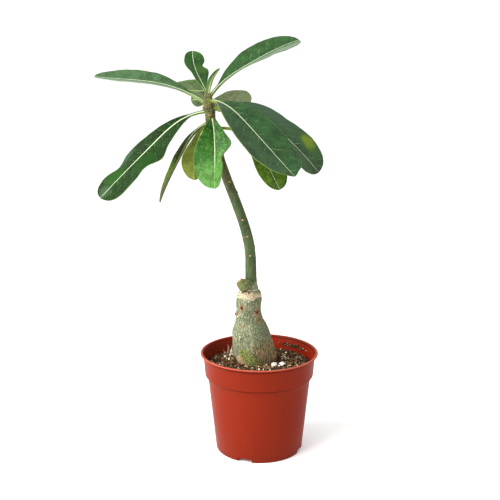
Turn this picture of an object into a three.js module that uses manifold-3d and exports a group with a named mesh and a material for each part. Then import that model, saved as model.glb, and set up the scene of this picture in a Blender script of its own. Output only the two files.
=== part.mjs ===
// A potted desert rose (adenium): a round nursery pot, soil, a swollen grey caudex, one leaning
// green stem with a pruned stub at its foot, and a crown of fourteen leaves.
// Units are millimetres, +Z is up. The origin is the centre of the pot's underside, and the side
// that the plant is looked at from faces -Y.
import * as THREE from 'three';
import { mergeVertices } from 'three/addons/utils/BufferGeometryUtils.js';
import Module from 'manifold-3d';

const wasm = await Module();
wasm.setup();

// ---------- driving dimensions ----------

const pot = {
  height: 87,
  lipRadius: 51,
  lipDepth: 2.0,
  bandRadius: 48.5,       // the collar below the lip, at its top
  bandLowRadius: 47.1,
  bandLow: 67.4,          // height at which the collar begins
  neckTopRadius: 45.7,    // top of the slope that runs from the body to the collar's lower edge
  bodyTopRadius: 44.0,
  bodyTop: 60,
  footRadius: 37.7,
  footRing: 3.9,          // width of the ring that it stands on
  flare: 0.6,             // how far the sides of the foot ring and the pad slope outwards
  padRadius: 22,          // middle of the floor, level with the foot ring
  channelRise: 3,         // how far the drained floor stands above the foot
  wall: 1.5,
  segments: 56,
  holeCount: 8,
  holeRadius: 3.5,
  holeCircle: 28,
  holeSides: 12,
  notchWidth: 12.3,
  notchDepth: 12,
  notchAngles: [-109.4, -19.4, 70.6, 160.6],
};

const soil = {
  gap: 0.4,               // clear of the pot's wall
  wallHeight: 75,
  mound: 3.0,             // how far it rises towards the plant
  moundInner: 18,         // the rise is full within this radius and gone beyond the next
  moundOuter: 42,
  heaps: [[30, 18, 0.5, 160], [-32, -4, 1.2, 120], [18, 6, 3.2, 70]],   // x, y, height, spread
  clod: 0.7,              // height of the lumps
  segments: 44,
  topRings: 9,
};

const plant = {
  gap: 0.3,               // between pieces that touch
  caudexSides: 24,
  stemSides: 14,
  stemSteps: 36,
  scarRadius: 1.3,
  scarSides: 7,
  scarRings: 4,
  scarFlatness: 0.6,      // how far a scar stands out, as a share of its radius
  scarSink: 0.2,
  lobes: [[3, 0.025, 0.05], [5, 0.015, -0.11]],   // caudex: count, depth, twist per mm of height
};

// caudex: height, x of the middle, half width; it starts below the soil
const caudexRows = [
  [48, -2.8, 4.0], [56, -2.7, 6.5], [65, -2.6, 9.6], [73, -2.6, 13.2], [79, -2.9, 16.0],
  [85, -3.6, 17.8], [92, -4.8, 17.9], [98, -5.9, 17.2], [103, -6.7, 16.5], [107, -7.1, 15.5],
  [111, -7.4, 13.8], [115, -8.1, 12.2], [119.5, -8.8, 11.3], [124, -9.0, 10.6], [128.5, -9.2, 10.8],
  [133, -8.9, 11.1], [136.5, -8.9, 10.8], [139, -8.7, 10.0], [141.2, -8.0, 8.7], [142.3, -7.8, 7.4],
];

// stem: x and z of its axis, and its radius; its foot is a collar of bark on the caudex
const stemPoints = [
  [-7.7, 142.6, 7.2], [-7.2, 147.5, 5.6], [-7.2, 153.5, 4.9], [-7.3, 162, 4.8], [-7.6, 172, 4.6],
  [-9.2, 184, 4.5], [-12.2, 196, 4.3], [-16.2, 208, 4.2], [-20.6, 220, 4.1], [-25.2, 232, 4.0],
  [-29.6, 244, 3.9], [-33.6, 256, 3.9],
  [-37.0, 269, 3.9], [-39.6, 282, 4.1], [-41.0, 294, 4.2], [-42.2, 302, 3.7], [-43.0, 308.5, 2.2],
];

const stub = {
  root: [-11.6, -4.8, 143.5],
  rootRadius: 6.4,
  end: [-16.6, -3.8, 151.7],
  endRadius: 3.9,
  taper: 1.2,             // above 1 it stays thick near its root
  sides: 12,
  rings: [0, 0.3, 0.6, 0.85, 1],
};

// scars of fallen leaves: height on the stem, and direction round it in degrees
const stemScars = [
  [172.8, -92], [179.6, -23], [188, -150], [189.1, -90], [197, 60], [203.3, -85], [214, 150],
  [225, -14], [235.4, -70], [250, 100], [257, 20], [262, -45],
];

// scars on the caudex: height, direction and radius
const caudexScars = [
  [128.4, -121, 2.0], [121.4, -168, 1.8], [124.2, -48, 2.4], [117.6, -42, 2.0],
  [112.3, -121, 1.1], [110, 60, 1.6], [126, 95, 1.6], [131, 20, 1.3],
];

// Leaves. Sizes are the length along the midrib and the full width. Height is where the stalk
// leaves the stem. Course gives the midrib's compass direction (0 = +X, 90 = +Y) and its rise,
// both in degrees, at its start, one third, two thirds and tip. Roll turns the blade about the
// midrib, fold lifts its halves. Broad is where it is widest, wedge how slim it stays before, and
// tip how blunt it ends. A pinch narrows one half (1 left, -1 right): where, how much, how far.
const leafShapes = {
  leaf_upper_right: {
    length: 104, width: 36, height: 302, broad: 0.64, wedge: 1.5, tip: 2.8,
    course: [[50, 50], [33, 29], [28, 25], [23, 17]], roll: [6, 8, 15, 21], fold: [25, 10],
  },
  leaf_left_long: {
    length: 105, width: 23, height: 298, broad: 0.62, wedge: 1.3,
    course: [[160, 34], [164, 16], [167, 4], [168, 6]], roll: [-18, -22, -26, -25], fold: [16, 18],
  },
  leaf_back_left: {
    length: 68, width: 20, height: 303, broad: 0.60, wedge: 1.2, tip: 2.8,
    course: [[92, 38], [105, 0], [128, 3], [156, 25]], roll: [55, 68, 56, 28], fold: [10, 4],
  },
  leaf_back_small: {
    length: 37, width: 14, height: 300.8, broad: 0.62, wedge: 1.3, tip: 2.6,
    course: [[118, 25], [118, 0], [114, -8], [114, 0]], roll: [15, 43, 66, 84], fold: [10, 6],
  },
  leaf_back_right: {
    length: 73, width: 29, height: 300, broad: 0.66, wedge: 1.1,
    course: [[78, 10], [68, -6], [56, -4], [50, -3]], roll: [-36, -44, -42, -40], fold: [12, 8],
  },
  leaf_front_right: {
    length: 111, width: 46, height: 302, broad: 0.69, wedge: 0.85, left: 0.88, right: 1.12,
    course: [[-50, 4], [-44, -32], [-38, -40], [-45, -35]], roll: [12, 13, 14, 8], fold: [15, 10],
  },
  leaf_right: {
    length: 112, width: 42, height: 293, broad: 0.66, wedge: 1.3, tip: 2.8, left: 1.22, right: 1.0,
    course: [[-12, 35], [-13, -27], [-7, -43], [-5, -50]], roll: [0, 13, 20, 34], fold: [14, 4],
    pinches: [[1, 0.54, 0.16, 0.10]],
  },
  leaf_right_low: {
    length: 86, width: 29, height: 279, broad: 0.70, wedge: 1.5, left: 1.16, right: 1.08,
    course: [[-22, 15], [-27, -26], [-37, -57], [-39, -55]], roll: [-5, 0, 8, 14], fold: [16, 3],
  },
  leaf_front: {
    length: 65, width: 34, height: 290, broad: 0.64, wedge: 0.75, left: 0.76, right: 1.02,
    course: [[-75, -20], [-75, -76], [-92, -72], [-94, -78]], roll: [-5, 4, 24, 24], fold: [22, 18],
    pinches: [[1, 0.43, -0.32, 0.09], [1, 0.63, 0.42, 0.09], [1, 0.84, 0.22, 0.12]],
  },
  leaf_left_large: {
    length: 117, width: 35, height: 293, broad: 0.78, wedge: 1.1, tip: 4.2, left: 1.08, right: 0.72,
    course: [[-158, 0], [-159, -39], [-162, -43], [-158, -45]], roll: [-40, -46, -30, -26], fold: [10, 6],
    pinches: [[1, 0.52, -0.30, 0.07], [1, 0.66, 0.14, 0.08], [-1, 0.76, 0.34, 0.09]],
  },
  leaf_left_narrow: {
    length: 82, width: 16, height: 284, broad: 0.64, wedge: 1.3,
    course: [[-148, -8], [-152, -56], [-158, -62], [-162, -70]], roll: [-10, 1, 7, 13], fold: [20, 18],
  },
  leaf_back_low: {
    length: 62, width: 22, height: 282, broad: 0.68, wedge: 1.7,
    course: [[146, 4], [128, -62], [104, -68], [90, -72]], roll: [-15, -20, -8, 8], fold: [12, 8],
  },
  leaf_top: {
    length: 44, width: 18, height: 304, broad: 0.62, wedge: 1.4, tip: 3.0, left: 1.0, right: 1.25,
    course: [[126, 66], [136, 52], [124, 58], [96, 74]], roll: [-4, -2, 3, 8], fold: [16, 4],
    wave: [1.3, 2.2, 0.1], pinches: [[-1, 0.70, 0.30, 0.06]],
  },
  leaf_top_bud: {
    length: 26, width: 5.4, height: 304.5, broad: 0.45, wedge: 1.0, tip: 1.5,
    course: [[-60, 82], [-35, 74], [-18, 56], [-12, 42]], roll: [0, -20, -30, -30], fold: [20, 20],
  },
};

const blade = {
  rows: 15,
  columns: [-1, -0.55, -0.13, 0, 0.13, 0.55, 1],
  thickness: 0.8,
  ribThickness: 2.2,
  ribWidth: 1.5,
  ribFade: 0.6,           // share of its thickness that the rib loses on its way to the tip
  stalkHalfWidth: 1.3,
  stalkShare: 0.1,        // share of the length that is only stalk
  tipHalfWidth: 0.9,
  crowding: 1.5,          // rows stand closer together towards the tip
};

// ---------- small helpers ----------

const radians = THREE.MathUtils.degToRad;

// A closed solid from a geometry: shared vertices are merged and flat triangles dropped.
function toSolid(geometry) {
  const bare = geometry.clone();
  bare.deleteAttribute('normal');
  bare.deleteAttribute('uv');
  const merged = mergeVertices(bare, 1e-4);
  const index = merged.getIndex().array;
  const kept = [];
  for (let i = 0; i < index.length; i += 3) {
    const [a, b, c] = [index[i], index[i + 1], index[i + 2]];
    if (a !== b && b !== c && c !== a) {
      kept.push(a, b, c);
    }
  }
  const vertProperties = new Float32Array(merged.getAttribute('position').array);
  const triVerts = new Uint32Array(kept);
  return new wasm.Manifold(new wasm.Mesh({ numProp: 3, vertProperties, triVerts }));
}

function toGeometry(solid) {
  const mesh = solid.getMesh();
  const geometry = new THREE.BufferGeometry();
  geometry.setAttribute('position', new THREE.BufferAttribute(mesh.vertProperties, mesh.numProp));
  geometry.setIndex(new THREE.BufferAttribute(mesh.triVerts, 1));
  geometry.computeVertexNormals();
  return geometry;
}

function largestPiece(solid) {
  const pieces = solid.decompose();
  return pieces.reduce((best, piece) => (piece.volume() > best.volume() ? piece : best));
}

// Rings of points, each run anticlockwise, stacked from the first to the last and closed at both
// ends on the middle of their end rings.
function ringStack(rings) {
  const sides = rings[0].length;
  const points = rings.flat();
  const faces = [];
  for (let k = 0; k + 1 < rings.length; k += 1) {
    for (let i = 0; i < sides; i += 1) {
      const j = (i + 1) % sides;
      const [a, b] = [k * sides + i, k * sides + j];
      const [c, d] = [b + sides, a + sides];
      faces.push(a, b, c, a, c, d);
    }
  }
  const middle = (ring) => ring.reduce((sum, p) => sum.add(p), new THREE.Vector3()).divideScalar(sides);
  const bottom = points.length;
  points.push(middle(rings[0]), middle(rings[rings.length - 1]));
  const last = (rings.length - 1) * sides;
  for (let i = 0; i < sides; i += 1) {
    const j = (i + 1) % sides;
    faces.push(bottom, j, i, bottom + 1, last + i, last + j);
  }
  return fromPoints(points, faces);
}

function fromPoints(points, faces) {
  const geometry = new THREE.BufferGeometry();
  geometry.setFromPoints(points);
  geometry.setIndex(faces);
  return geometry;
}

// Smooth value through evenly spaced control values, at share t of the way.
function smoothThrough(values, t) {
  const spans = values.length - 1;
  const place = THREE.MathUtils.clamp(t, 0, 1) * spans;
  const i = Math.min(Math.floor(place), spans - 1);
  const w = place - i;
  const [b, c] = [values[i], values[i + 1]];
  const a = i > 0 ? values[i - 1] : 2 * b - c;
  const d = i + 2 <= spans ? values[i + 2] : 2 * c - b;
  const square = 2 * a - 5 * b + 4 * c - d;
  const cube = 3 * b - a - 3 * c + d;
  return 0.5 * (2 * b + (c - a) * w + square * w ** 2 + cube * w ** 3);
}

function rowAtHeight(rows, z, heightColumn) {
  let i = 0;
  while (i < rows.length - 2 && rows[i + 1][heightColumn] < z) {
    i += 1;
  }
  const w = (z - rows[i][heightColumn]) / (rows[i + 1][heightColumn] - rows[i][heightColumn]);
  return rows[i].map((value, k) => value + (rows[i + 1][k] - value) * THREE.MathUtils.clamp(w, 0, 1));
}

// ---------- pot ----------

function potGeometry() {
  const p = pot;
  const channel = p.channelRise;
  const floorTop = channel + p.wall;
  const lipLow = p.height - p.lipDepth;
  const rim = p.lipRadius;
  const outline = [
    [0, 0], [p.padRadius, 0], [p.padRadius + p.flare, channel],
    [p.footRadius - p.footRing - p.flare, channel], [p.footRadius - p.footRing, 0],
    [p.footRadius - p.flare, 0], [p.footRadius, 0.8],
    [p.bodyTopRadius, p.bodyTop], [p.neckTopRadius, p.bandLow - 0.5], [p.bandLowRadius, p.bandLow],
    [p.bandRadius, lipLow], [rim - 0.6, lipLow + 0.2], [rim, lipLow + 1.0],
    [rim - 0.4, p.height - 0.2], [rim - 0.9, p.height], [rim - 1.7, p.height],
    [rim - 2.6, p.height - 0.8], [p.bandRadius - p.wall, lipLow - 2],
    [p.bandLowRadius - p.wall, p.bandLow + 0.3],
    [p.bodyTopRadius - p.wall, p.bodyTop + 0.3], [p.footRadius - p.wall + 0.4, floorTop],
    [p.padRadius - 1.2, floorTop], [p.padRadius - 1.6, p.wall], [0, p.wall],
  ];
  const geometry = new THREE.LatheGeometry(outline.map(([r, z]) => new THREE.Vector2(r, z)), p.segments);
  geometry.rotateX(Math.PI / 2);
  let solid = toSolid(geometry);

  for (let k = 0; k < p.holeCount; k += 1) {
    const angle = ((k + 0.5) / p.holeCount) * 2 * Math.PI;
    const drill = new THREE.CylinderGeometry(p.holeRadius, p.holeRadius, 4 * floorTop, p.holeSides);
    drill.rotateX(Math.PI / 2);
    drill.translate(p.holeCircle * Math.cos(angle), p.holeCircle * Math.sin(angle), 0);
    solid = solid.subtract(toSolid(drill));
  }
  for (const degrees of p.notchAngles) {
    const notch = new THREE.BoxGeometry(p.notchDepth, p.notchWidth, 2 * channel);
    notch.translate(p.footRadius, 0, 0);
    notch.rotateZ(radians(degrees));
    solid = solid.subtract(toSolid(notch));
  }
  return toGeometry(solid);
}

// ---------- soil ----------

function soilHeight(x, y) {
  const far = THREE.MathUtils.smoothstep(Math.hypot(x, y), soil.moundInner, soil.moundOuter);
  let height = soil.wallHeight + soil.mound * (1 - far);
  for (const [heapX, heapY, rise, spread] of soil.heaps) {
    height += rise * Math.exp(-((x - heapX) ** 2 + (y - heapY) ** 2) / spread);
  }
  const clods = Math.sin(0.55 * x + 1.3) * Math.sin(0.62 * y) + 0.6 * Math.sin(0.31 * x - 0.83 * y + 0.7);
  return height + soil.clod * clods;
}

function soilSolid() {
  const inner = (radius) => radius - pot.wall - soil.gap;
  const floor = pot.channelRise + pot.wall + soil.gap;
  const lowRows = [
    [pot.padRadius - 2.2, pot.wall + soil.gap], [pot.padRadius - 1.9, floor],
    [inner(pot.footRadius), floor], [inner(pot.bodyTopRadius), pot.bodyTop + 0.6],
    [inner(pot.bandLowRadius), pot.bandLow + 0.5],
  ];
  const edge = inner(pot.bandLowRadius) + 0.5;
  const ring = (radius, heightAt) => Array.from({ length: soil.segments }, (_, i) => {
    const angle = (i / soil.segments) * 2 * Math.PI;
    const x = radius * Math.cos(angle);
    const y = radius * Math.sin(angle);
    return new THREE.Vector3(x, y, heightAt(x, y));
  });
  const rings = lowRows.map(([radius, z]) => ring(radius, () => z));
  for (let k = 0; k < soil.topRings; k += 1) {
    rings.push(ring(edge * (1 - k / soil.topRings), soilHeight));
  }
  return toSolid(ringStack(rings));
}

// ---------- caudex ----------

function caudexSolid(clearance) {
  const rings = caudexRows.map(([z, middle, half]) => {
    const lift = clearance * (z === caudexRows[0][0] ? -1 : 0);
    return Array.from({ length: plant.caudexSides }, (_, i) => {
      const angle = (i / plant.caudexSides) * 2 * Math.PI;
      let swell = 1;
      for (const [count, depth, twist] of plant.lobes) {
        swell += depth * Math.sin(count * angle + twist * z);
      }
      const radius = half * swell + clearance;
      return new THREE.Vector3(middle + radius * Math.cos(angle), radius * Math.sin(angle), z + lift);
    });
  });
  if (clearance > 0) {
    const top = rings[rings.length - 1];
    rings.push(top.map((p) => new THREE.Vector3(p.x, p.y, p.z + clearance)));
  }
  return toSolid(ringStack(rings));
}

function knob(position, outward, radius) {
  const ball = new THREE.SphereGeometry(radius, plant.scarSides, plant.scarRings);
  ball.scale(1, 1, plant.scarFlatness);
  ball.applyQuaternion(new THREE.Quaternion().setFromUnitVectors(new THREE.Vector3(0, 0, 1), outward));
  ball.translate(position.x, position.y, position.z);
  return toSolid(ball);
}

function caudexGeometry() {
  let solid = caudexSolid(0);
  for (const [z, degrees, radius] of caudexScars) {
    const [, middle, half] = rowAtHeight(caudexRows, z, 0);
    const outward = new THREE.Vector3(Math.cos(radians(degrees)), Math.sin(radians(degrees)), 0);
    const place = outward.clone().multiplyScalar(half - plant.scarSink).add(new THREE.Vector3(middle, 0, z));
    solid = solid.add(knob(place, outward, radius));
  }
  return toGeometry(solid);
}

// ---------- stem with its pruned stub ----------

function stemAt(t) {
  return {
    position: new THREE.Vector3(
      smoothThrough(stemPoints.map((p) => p[0]), t), 0, smoothThrough(stemPoints.map((p) => p[1]), t),
    ),
    radius: smoothThrough(stemPoints.map((p) => p[2]), t),
  };
}

function stemAtHeight(z) {
  let low = 0;
  let high = 1;
  for (let k = 0; k < 30; k += 1) {
    const mid = (low + high) / 2;
    if (stemAt(mid).position.z < z) {
      low = mid;
    } else {
      high = mid;
    }
  }
  return stemAt(low);
}

function stemTube(clearance) {
  const side = new THREE.Vector3(0, 1, 0);
  const rings = [];
  for (let k = 0; k <= plant.stemSteps; k += 1) {
    const t = k / plant.stemSteps;
    const here = stemAt(t);
    const ahead = stemAt(Math.min(t + 0.01, 1)).position;
    const behind = stemAt(Math.max(t - 0.01, 0)).position;
    const along = k === 0 ? new THREE.Vector3(0, 0, 1) : ahead.sub(behind).normalize();
    const across = new THREE.Vector3().crossVectors(side, along);
    const end = clearance * ((k === plant.stemSteps) - (k === 0));
    rings.push(Array.from({ length: plant.stemSides }, (_, i) => {
      const angle = (i / plant.stemSides) * 2 * Math.PI;
      const radius = here.radius + clearance;
      return here.position.clone()
        .addScaledVector(across, radius * Math.cos(angle))
        .addScaledVector(side, radius * Math.sin(angle))
        .addScaledVector(along, end);
    }));
  }
  return toSolid(ringStack(rings));
}

function stubSolid() {
  const root = new THREE.Vector3(...stub.root);
  const end = new THREE.Vector3(...stub.end);
  const along = end.clone().sub(root).normalize();
  const across = new THREE.Vector3().crossVectors(new THREE.Vector3(0, 1, 0), along).normalize();
  const side = new THREE.Vector3().crossVectors(along, across);
  const rings = stub.rings.map((t) => {
    const middle = root.clone().lerp(end, t);
    const radius = stub.rootRadius + (stub.endRadius - stub.rootRadius) * t ** stub.taper;
    return Array.from({ length: stub.sides }, (_, i) => {
      const angle = (i / stub.sides) * 2 * Math.PI;
      return middle.clone()
        .addScaledVector(across, radius * Math.cos(angle))
        .addScaledVector(side, radius * Math.sin(angle));
    });
  });
  return toSolid(ringStack(rings));
}

function stemGeometry(caudexAndGap) {
  let solid = stemTube(0).add(stubSolid());
  for (const [z, degrees] of stemScars) {
    const here = stemAtHeight(z);
    const outward = new THREE.Vector3(Math.cos(radians(degrees)), Math.sin(radians(degrees)), 0);
    const place = here.position.clone().addScaledVector(outward, here.radius - plant.scarSink);
    solid = solid.add(knob(place, outward, plant.scarRadius));
  }
  return toGeometry(largestPiece(solid.subtract(caudexAndGap)));
}

// ---------- leaves ----------

// Share of the full half width at share s of the length: a stalk, a wedge, then a round tip.
function leafOutline(shape, s) {
  if (s < shape.broad) {
    const up = Math.max(0, (s - blade.stalkShare) / (shape.broad - blade.stalkShare));
    return Math.sin((up * Math.PI) / 2) ** shape.wedge;
  }
  const down = (s - shape.broad) / (1 - shape.broad);
  return Math.sqrt(Math.max(0, 1 - down ** (shape.tip ?? 2.2)));
}

function halfWidth(shape, s, v) {
  const share = v > 0 ? (shape.left ?? 1) : (shape.right ?? 1);
  let half = (shape.width / 2) * share * leafOutline(shape, s);
  for (const [side, at, depth, span] of shape.pinches ?? []) {
    if (side * v > 0) {
      half *= 1 - depth * Math.exp(-(((s - at) / span) ** 2));
    }
  }
  const least = s < shape.broad ? blade.stalkHalfWidth : blade.tipHalfWidth;
  return Math.max(half, least);
}

function leafFrame(shape, s) {
  const azimuth = radians(smoothThrough(shape.course.map((c) => c[0]), s));
  const rise = radians(smoothThrough(shape.course.map((c) => c[1]), s));
  const roll = radians(smoothThrough(shape.roll, s));
  const along = new THREE.Vector3(
    Math.cos(rise) * Math.cos(azimuth), Math.cos(rise) * Math.sin(azimuth), Math.sin(rise),
  );
  const level = new THREE.Vector3(-Math.sin(azimuth), Math.cos(azimuth), 0);
  const above = new THREE.Vector3().crossVectors(along, level);
  const left = level.clone().multiplyScalar(Math.cos(roll)).addScaledVector(above, Math.sin(roll));
  const up = above.clone().multiplyScalar(Math.cos(roll)).addScaledVector(level, -Math.sin(roll));
  return { along, left, up };
}

function leafGeometry(shape) {
  const [waveHeight, waveCount, waveStart] = shape.wave ?? [0, 0, 0];
  const columns = blade.columns;
  const width = columns.length;
  const upper = [];
  const lower = [];
  const midrib = stemAtHeight(shape.height).position;
  let before = 0;
  let frameBefore = leafFrame(shape, 0);
  for (let i = 0; i < blade.rows; i += 1) {
    const s = 1 - (1 - i / (blade.rows - 1)) ** blade.crowding;
    const frame = leafFrame(shape, s);
    const step = ((s - before) * shape.length) / 2;
    midrib.addScaledVector(frameBefore.along, step).addScaledVector(frame.along, step);
    const fold = radians(smoothThrough(shape.fold, s));
    for (const v of columns) {
      const out = Math.abs(v) * halfWidth(shape, s, v);
      const swing = Math.sin(2 * Math.PI * (waveCount * s + waveStart));
      const wave = waveHeight * v * v * leafOutline(shape, s) * swing;
      const point = midrib.clone()
        .addScaledVector(frame.left, Math.sign(v) * out * Math.cos(fold))
        .addScaledVector(frame.up, out * Math.sin(fold) + wave);
      const ribHere = blade.ribThickness * (1 - blade.ribFade * s) - blade.thickness;
      const rib = ribHere * Math.exp(-((out / blade.ribWidth) ** 2));
      upper.push(point);
      lower.push(point.clone().addScaledVector(frame.up, -blade.thickness - Math.max(0, rib)));
    }
    before = s;
    frameBefore = frame;
  }

  // both faces are split into triangles alike, then closed round the edge
  const shift = upper.length;
  const faces = [];
  for (let i = 0; i + 1 < blade.rows; i += 1) {
    for (let j = 0; j + 1 < width; j += 1) {
      const [a, b] = [i * width + j, (i + 1) * width + j];
      faces.push(a, b, b + 1, a, b + 1, a + 1);
      faces.push(a + shift, b + 1 + shift, b + shift, a + shift, a + 1 + shift, b + 1 + shift);
    }
    const [near, far] = [i * width, (i + 1) * width];
    faces.push(near, near + shift, far + shift, near, far + shift, far);
    const [nearEnd, farEnd] = [near + width - 1, far + width - 1];
    faces.push(nearEnd, farEnd + shift, nearEnd + shift, nearEnd, farEnd, farEnd + shift);
  }
  const tipRow = (blade.rows - 1) * width;
  for (let j = 0; j + 1 < width; j += 1) {
    faces.push(j, j + 1, j + 1 + shift, j, j + 1 + shift, j + shift);
    const t = tipRow + j;
    faces.push(t, t + 1 + shift, t + 1, t, t + shift, t + 1 + shift);
  }
  return fromPoints([...upper, ...lower], faces);
}

// ---------- the assembly ----------

const terracotta = new THREE.MeshStandardMaterial({ color: 0xa83420, roughness: 0.5, metalness: 0 });
const earth = new THREE.MeshStandardMaterial({ color: 0x4b3725, roughness: 0.95, metalness: 0 });
const bark = new THREE.MeshStandardMaterial({ color: 0x8b9378, roughness: 0.85, metalness: 0 });
const greenBark = new THREE.MeshStandardMaterial({ color: 0x55703f, roughness: 0.6, metalness: 0 });
const leafDark = new THREE.MeshStandardMaterial({ color: 0x3f6b45, roughness: 0.4, metalness: 0 });
const leafBright = new THREE.MeshStandardMaterial({ color: 0x5d9448, roughness: 0.45, metalness: 0 });
const brightLeaves = ['leaf_front', 'leaf_right_low', 'leaf_back_low', 'leaf_top_bud'];

const adenium = new THREE.Group();

function place(name, geometry, material) {
  const mesh = new THREE.Mesh(geometry, material);
  mesh.name = name;
  adenium.add(mesh);
}

const caudexAndGap = caudexSolid(plant.gap);
const stemAndGap = stemTube(plant.gap);

place('pot', potGeometry(), terracotta);
place('soil', toGeometry(largestPiece(soilSolid().subtract(caudexAndGap))), earth);
place('caudex', caudexGeometry(), bark);
place('stem', stemGeometry(caudexAndGap), greenBark);
for (const [name, shape] of Object.entries(leafShapes)) {
  const free = largestPiece(toSolid(leafGeometry(shape)).subtract(stemAndGap));
  place(name, toGeometry(free), brightLeaves.includes(name) ? leafBright : leafDark);
}

export default adenium;
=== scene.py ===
# Potted desert rose: the finish and the fine shape of each piece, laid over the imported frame.
import math
import random
import bmesh
import bpy
from mathutils import Matrix, Vector, noise


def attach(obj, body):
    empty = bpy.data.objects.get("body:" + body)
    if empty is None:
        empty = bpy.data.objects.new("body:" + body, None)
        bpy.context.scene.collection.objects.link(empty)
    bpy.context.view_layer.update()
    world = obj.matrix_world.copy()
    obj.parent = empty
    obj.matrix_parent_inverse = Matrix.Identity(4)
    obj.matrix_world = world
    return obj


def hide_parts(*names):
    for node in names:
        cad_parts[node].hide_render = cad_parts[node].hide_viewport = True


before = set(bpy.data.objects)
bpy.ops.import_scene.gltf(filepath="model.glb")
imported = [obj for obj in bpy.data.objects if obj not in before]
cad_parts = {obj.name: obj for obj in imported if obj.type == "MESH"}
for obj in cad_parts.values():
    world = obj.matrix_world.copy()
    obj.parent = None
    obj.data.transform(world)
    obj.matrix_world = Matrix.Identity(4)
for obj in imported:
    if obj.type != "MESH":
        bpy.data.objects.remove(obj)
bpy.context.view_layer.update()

mm = 0.001
fullTurn = 2 * math.pi
scene = bpy.context.scene

# Shared helpers.

def pick(*pieces):  # only these are selected, and the first is active
    bpy.ops.object.select_all(action="DESELECT")
    for piece in pieces:
        piece.select_set(True)
    if pieces:
        bpy.context.view_layer.objects.active = pieces[0]


def added(operator, name, **settings):  # a new object, with nothing else selected
    pick()
    operator(**settings)
    piece = bpy.context.object
    piece.name = piece.data.name = name
    return piece


def editAll(piece):
    pick(piece)
    bpy.ops.object.mode_set(mode="EDIT")
    bpy.ops.mesh.select_all(action="SELECT")


def closeUp(piece):  # seams and poles merged, faces turned outwards
    editAll(piece)
    bpy.ops.mesh.remove_doubles(threshold=0.002 * mm)
    bpy.ops.mesh.normals_make_consistent(inside=False)
    bpy.ops.object.mode_set(mode="OBJECT")


def smooth(piece):
    pick(piece)
    bpy.ops.object.shade_smooth()


def joined(name, pieces):
    pick(*pieces)
    bpy.ops.object.join()
    smooth(pieces[0])
    pieces[0].name = pieces[0].data.name = name
    return pieces[0]


def applyModifier(piece, kind, **settings):
    pick(piece)
    modifier = piece.modifiers.new(kind.title(), kind)
    for key, value in settings.items():
        setattr(modifier, key, value)
    bpy.ops.object.modifier_apply(modifier=modifier.name)


def rolledGrid(name, around, along, pointAt):  # a grid wrapped round, from pole to pole
    piece = added(bpy.ops.mesh.primitive_grid_add, name,
                  x_subdivisions=around, y_subdivisions=along, size=1)
    for vertex in piece.data.vertices:
        vertex.co = pointAt((vertex.co.x + 0.5) * fullTurn, vertex.co.y + 0.5)
    closeUp(piece)
    smooth(piece)
    return piece


def paintAttributes(piece, valuesAt, *names):  # three values at each vertex for every name
    colours = piece.data.color_attributes
    for name in names:
        colours.new(name, "FLOAT_COLOR", "POINT")
    painted = [valuesAt(vertex.co) for vertex in piece.data.vertices]
    for name, column in zip(names, zip(*painted)):
        for texel, values in zip(colours[name].data, column):
            texel.color = (*values, 1)


def handOver(piece, slot, *nodes):  # the piece stands for those nodes of the frame
    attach(piece, "root")
    if nodes:
        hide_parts(*nodes)


def dress(piece, finish, slot, *nodes):
    piece.data.materials.clear()
    piece.data.materials.append(finish)
    handOver(piece, slot, *nodes)


def clamp(value, low=0.0, high=1.0):
    return max(low, min(high, value))


def smoothStep(value, low, high):
    t = clamp((value - low) / (high - low))
    return t * t * (3 - 2 * t)


def bell(distance, width):
    return math.exp(-((distance / width) ** 2))


def smoothThrough(values, t):  # a smooth curve through evenly spaced values
    spans = len(values) - 1
    place = clamp(t) * spans
    i = min(int(place), spans - 1)
    w = place - i
    b, c = values[i], values[i + 1]
    a = values[i - 1] if i > 0 else 2 * b - c
    d = values[i + 2] if i + 2 <= spans else 2 * c - b
    square = 2 * a - 5 * b + 4 * c - d
    cube = 3 * b - a - 3 * c + d
    return 0.5 * (2 * b + (c - a) * w + square * w * w + cube * w ** 3)


def columnOf(rows, column):
    return [row[column] for row in rows]


def ripple(x, y, z, seed=0.0):  # smooth noise from -1 to 1, places in mm
    return noise.noise(Vector((x + 17.3 * seed, y - 9.1 * seed, z + 5.7 * seed)))


def relief(rows, x, y, z):  # rows: height, scale across and along, seed
    return sum(high * ripple(x * across, y * across, z * along, seed)
               for high, across, along, seed in rows)


def polar(radius, angle):
    return radius * math.cos(angle), radius * math.sin(angle)


def turnFrom(angle, degrees):
    return (angle - math.radians(degrees) + math.pi) % fullTurn - math.pi


def roundDistance(angle, z, degrees, height, radius):
    return math.hypot(turnFrom(angle, degrees) * radius, z - height)


def sideBell(angle, turn, width):  # 1 in one direction, and it fades to both sides
    return bell(math.sin((angle + turn) / 2), width)


def capped(w, share):  # the run between the caps, and how open it is
    return clamp((w - share) / (1 - 2 * share)), clamp(min(w, 1 - w) / share)


# Materials.

def tint(red, green, blue):  # a screen colour of 0 to 255, made linear
    def linear(value):
        share = value / 255
        return share / 12.92 if share <= 0.04045 else ((share + 0.055) / 1.055) ** 2.4
    return (linear(red), linear(green), linear(blue), 1)


class Wire:  # a socket that takes part in sums
    def __init__(self, finish, socket):
        self.finish = finish
        self.socket = socket

    def __add__(self, other):
        return self.finish.sum("ADD", self, other)

    def __sub__(self, other):
        return self.finish.sum("SUBTRACT", self, other)

    def __rsub__(self, other):
        return self.finish.sum("SUBTRACT", other, self)

    def __mul__(self, other):
        return self.finish.sum("MULTIPLY", self, other)

    def __truediv__(self, other):
        return self.finish.sum("DIVIDE", self, other)

    def __rtruediv__(self, other):
        return self.finish.sum("DIVIDE", other, self)

    def __abs__(self):
        return self.finish.sum("ABSOLUTE", self)

    __radd__ = __add__
    __rmul__ = __mul__


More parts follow.
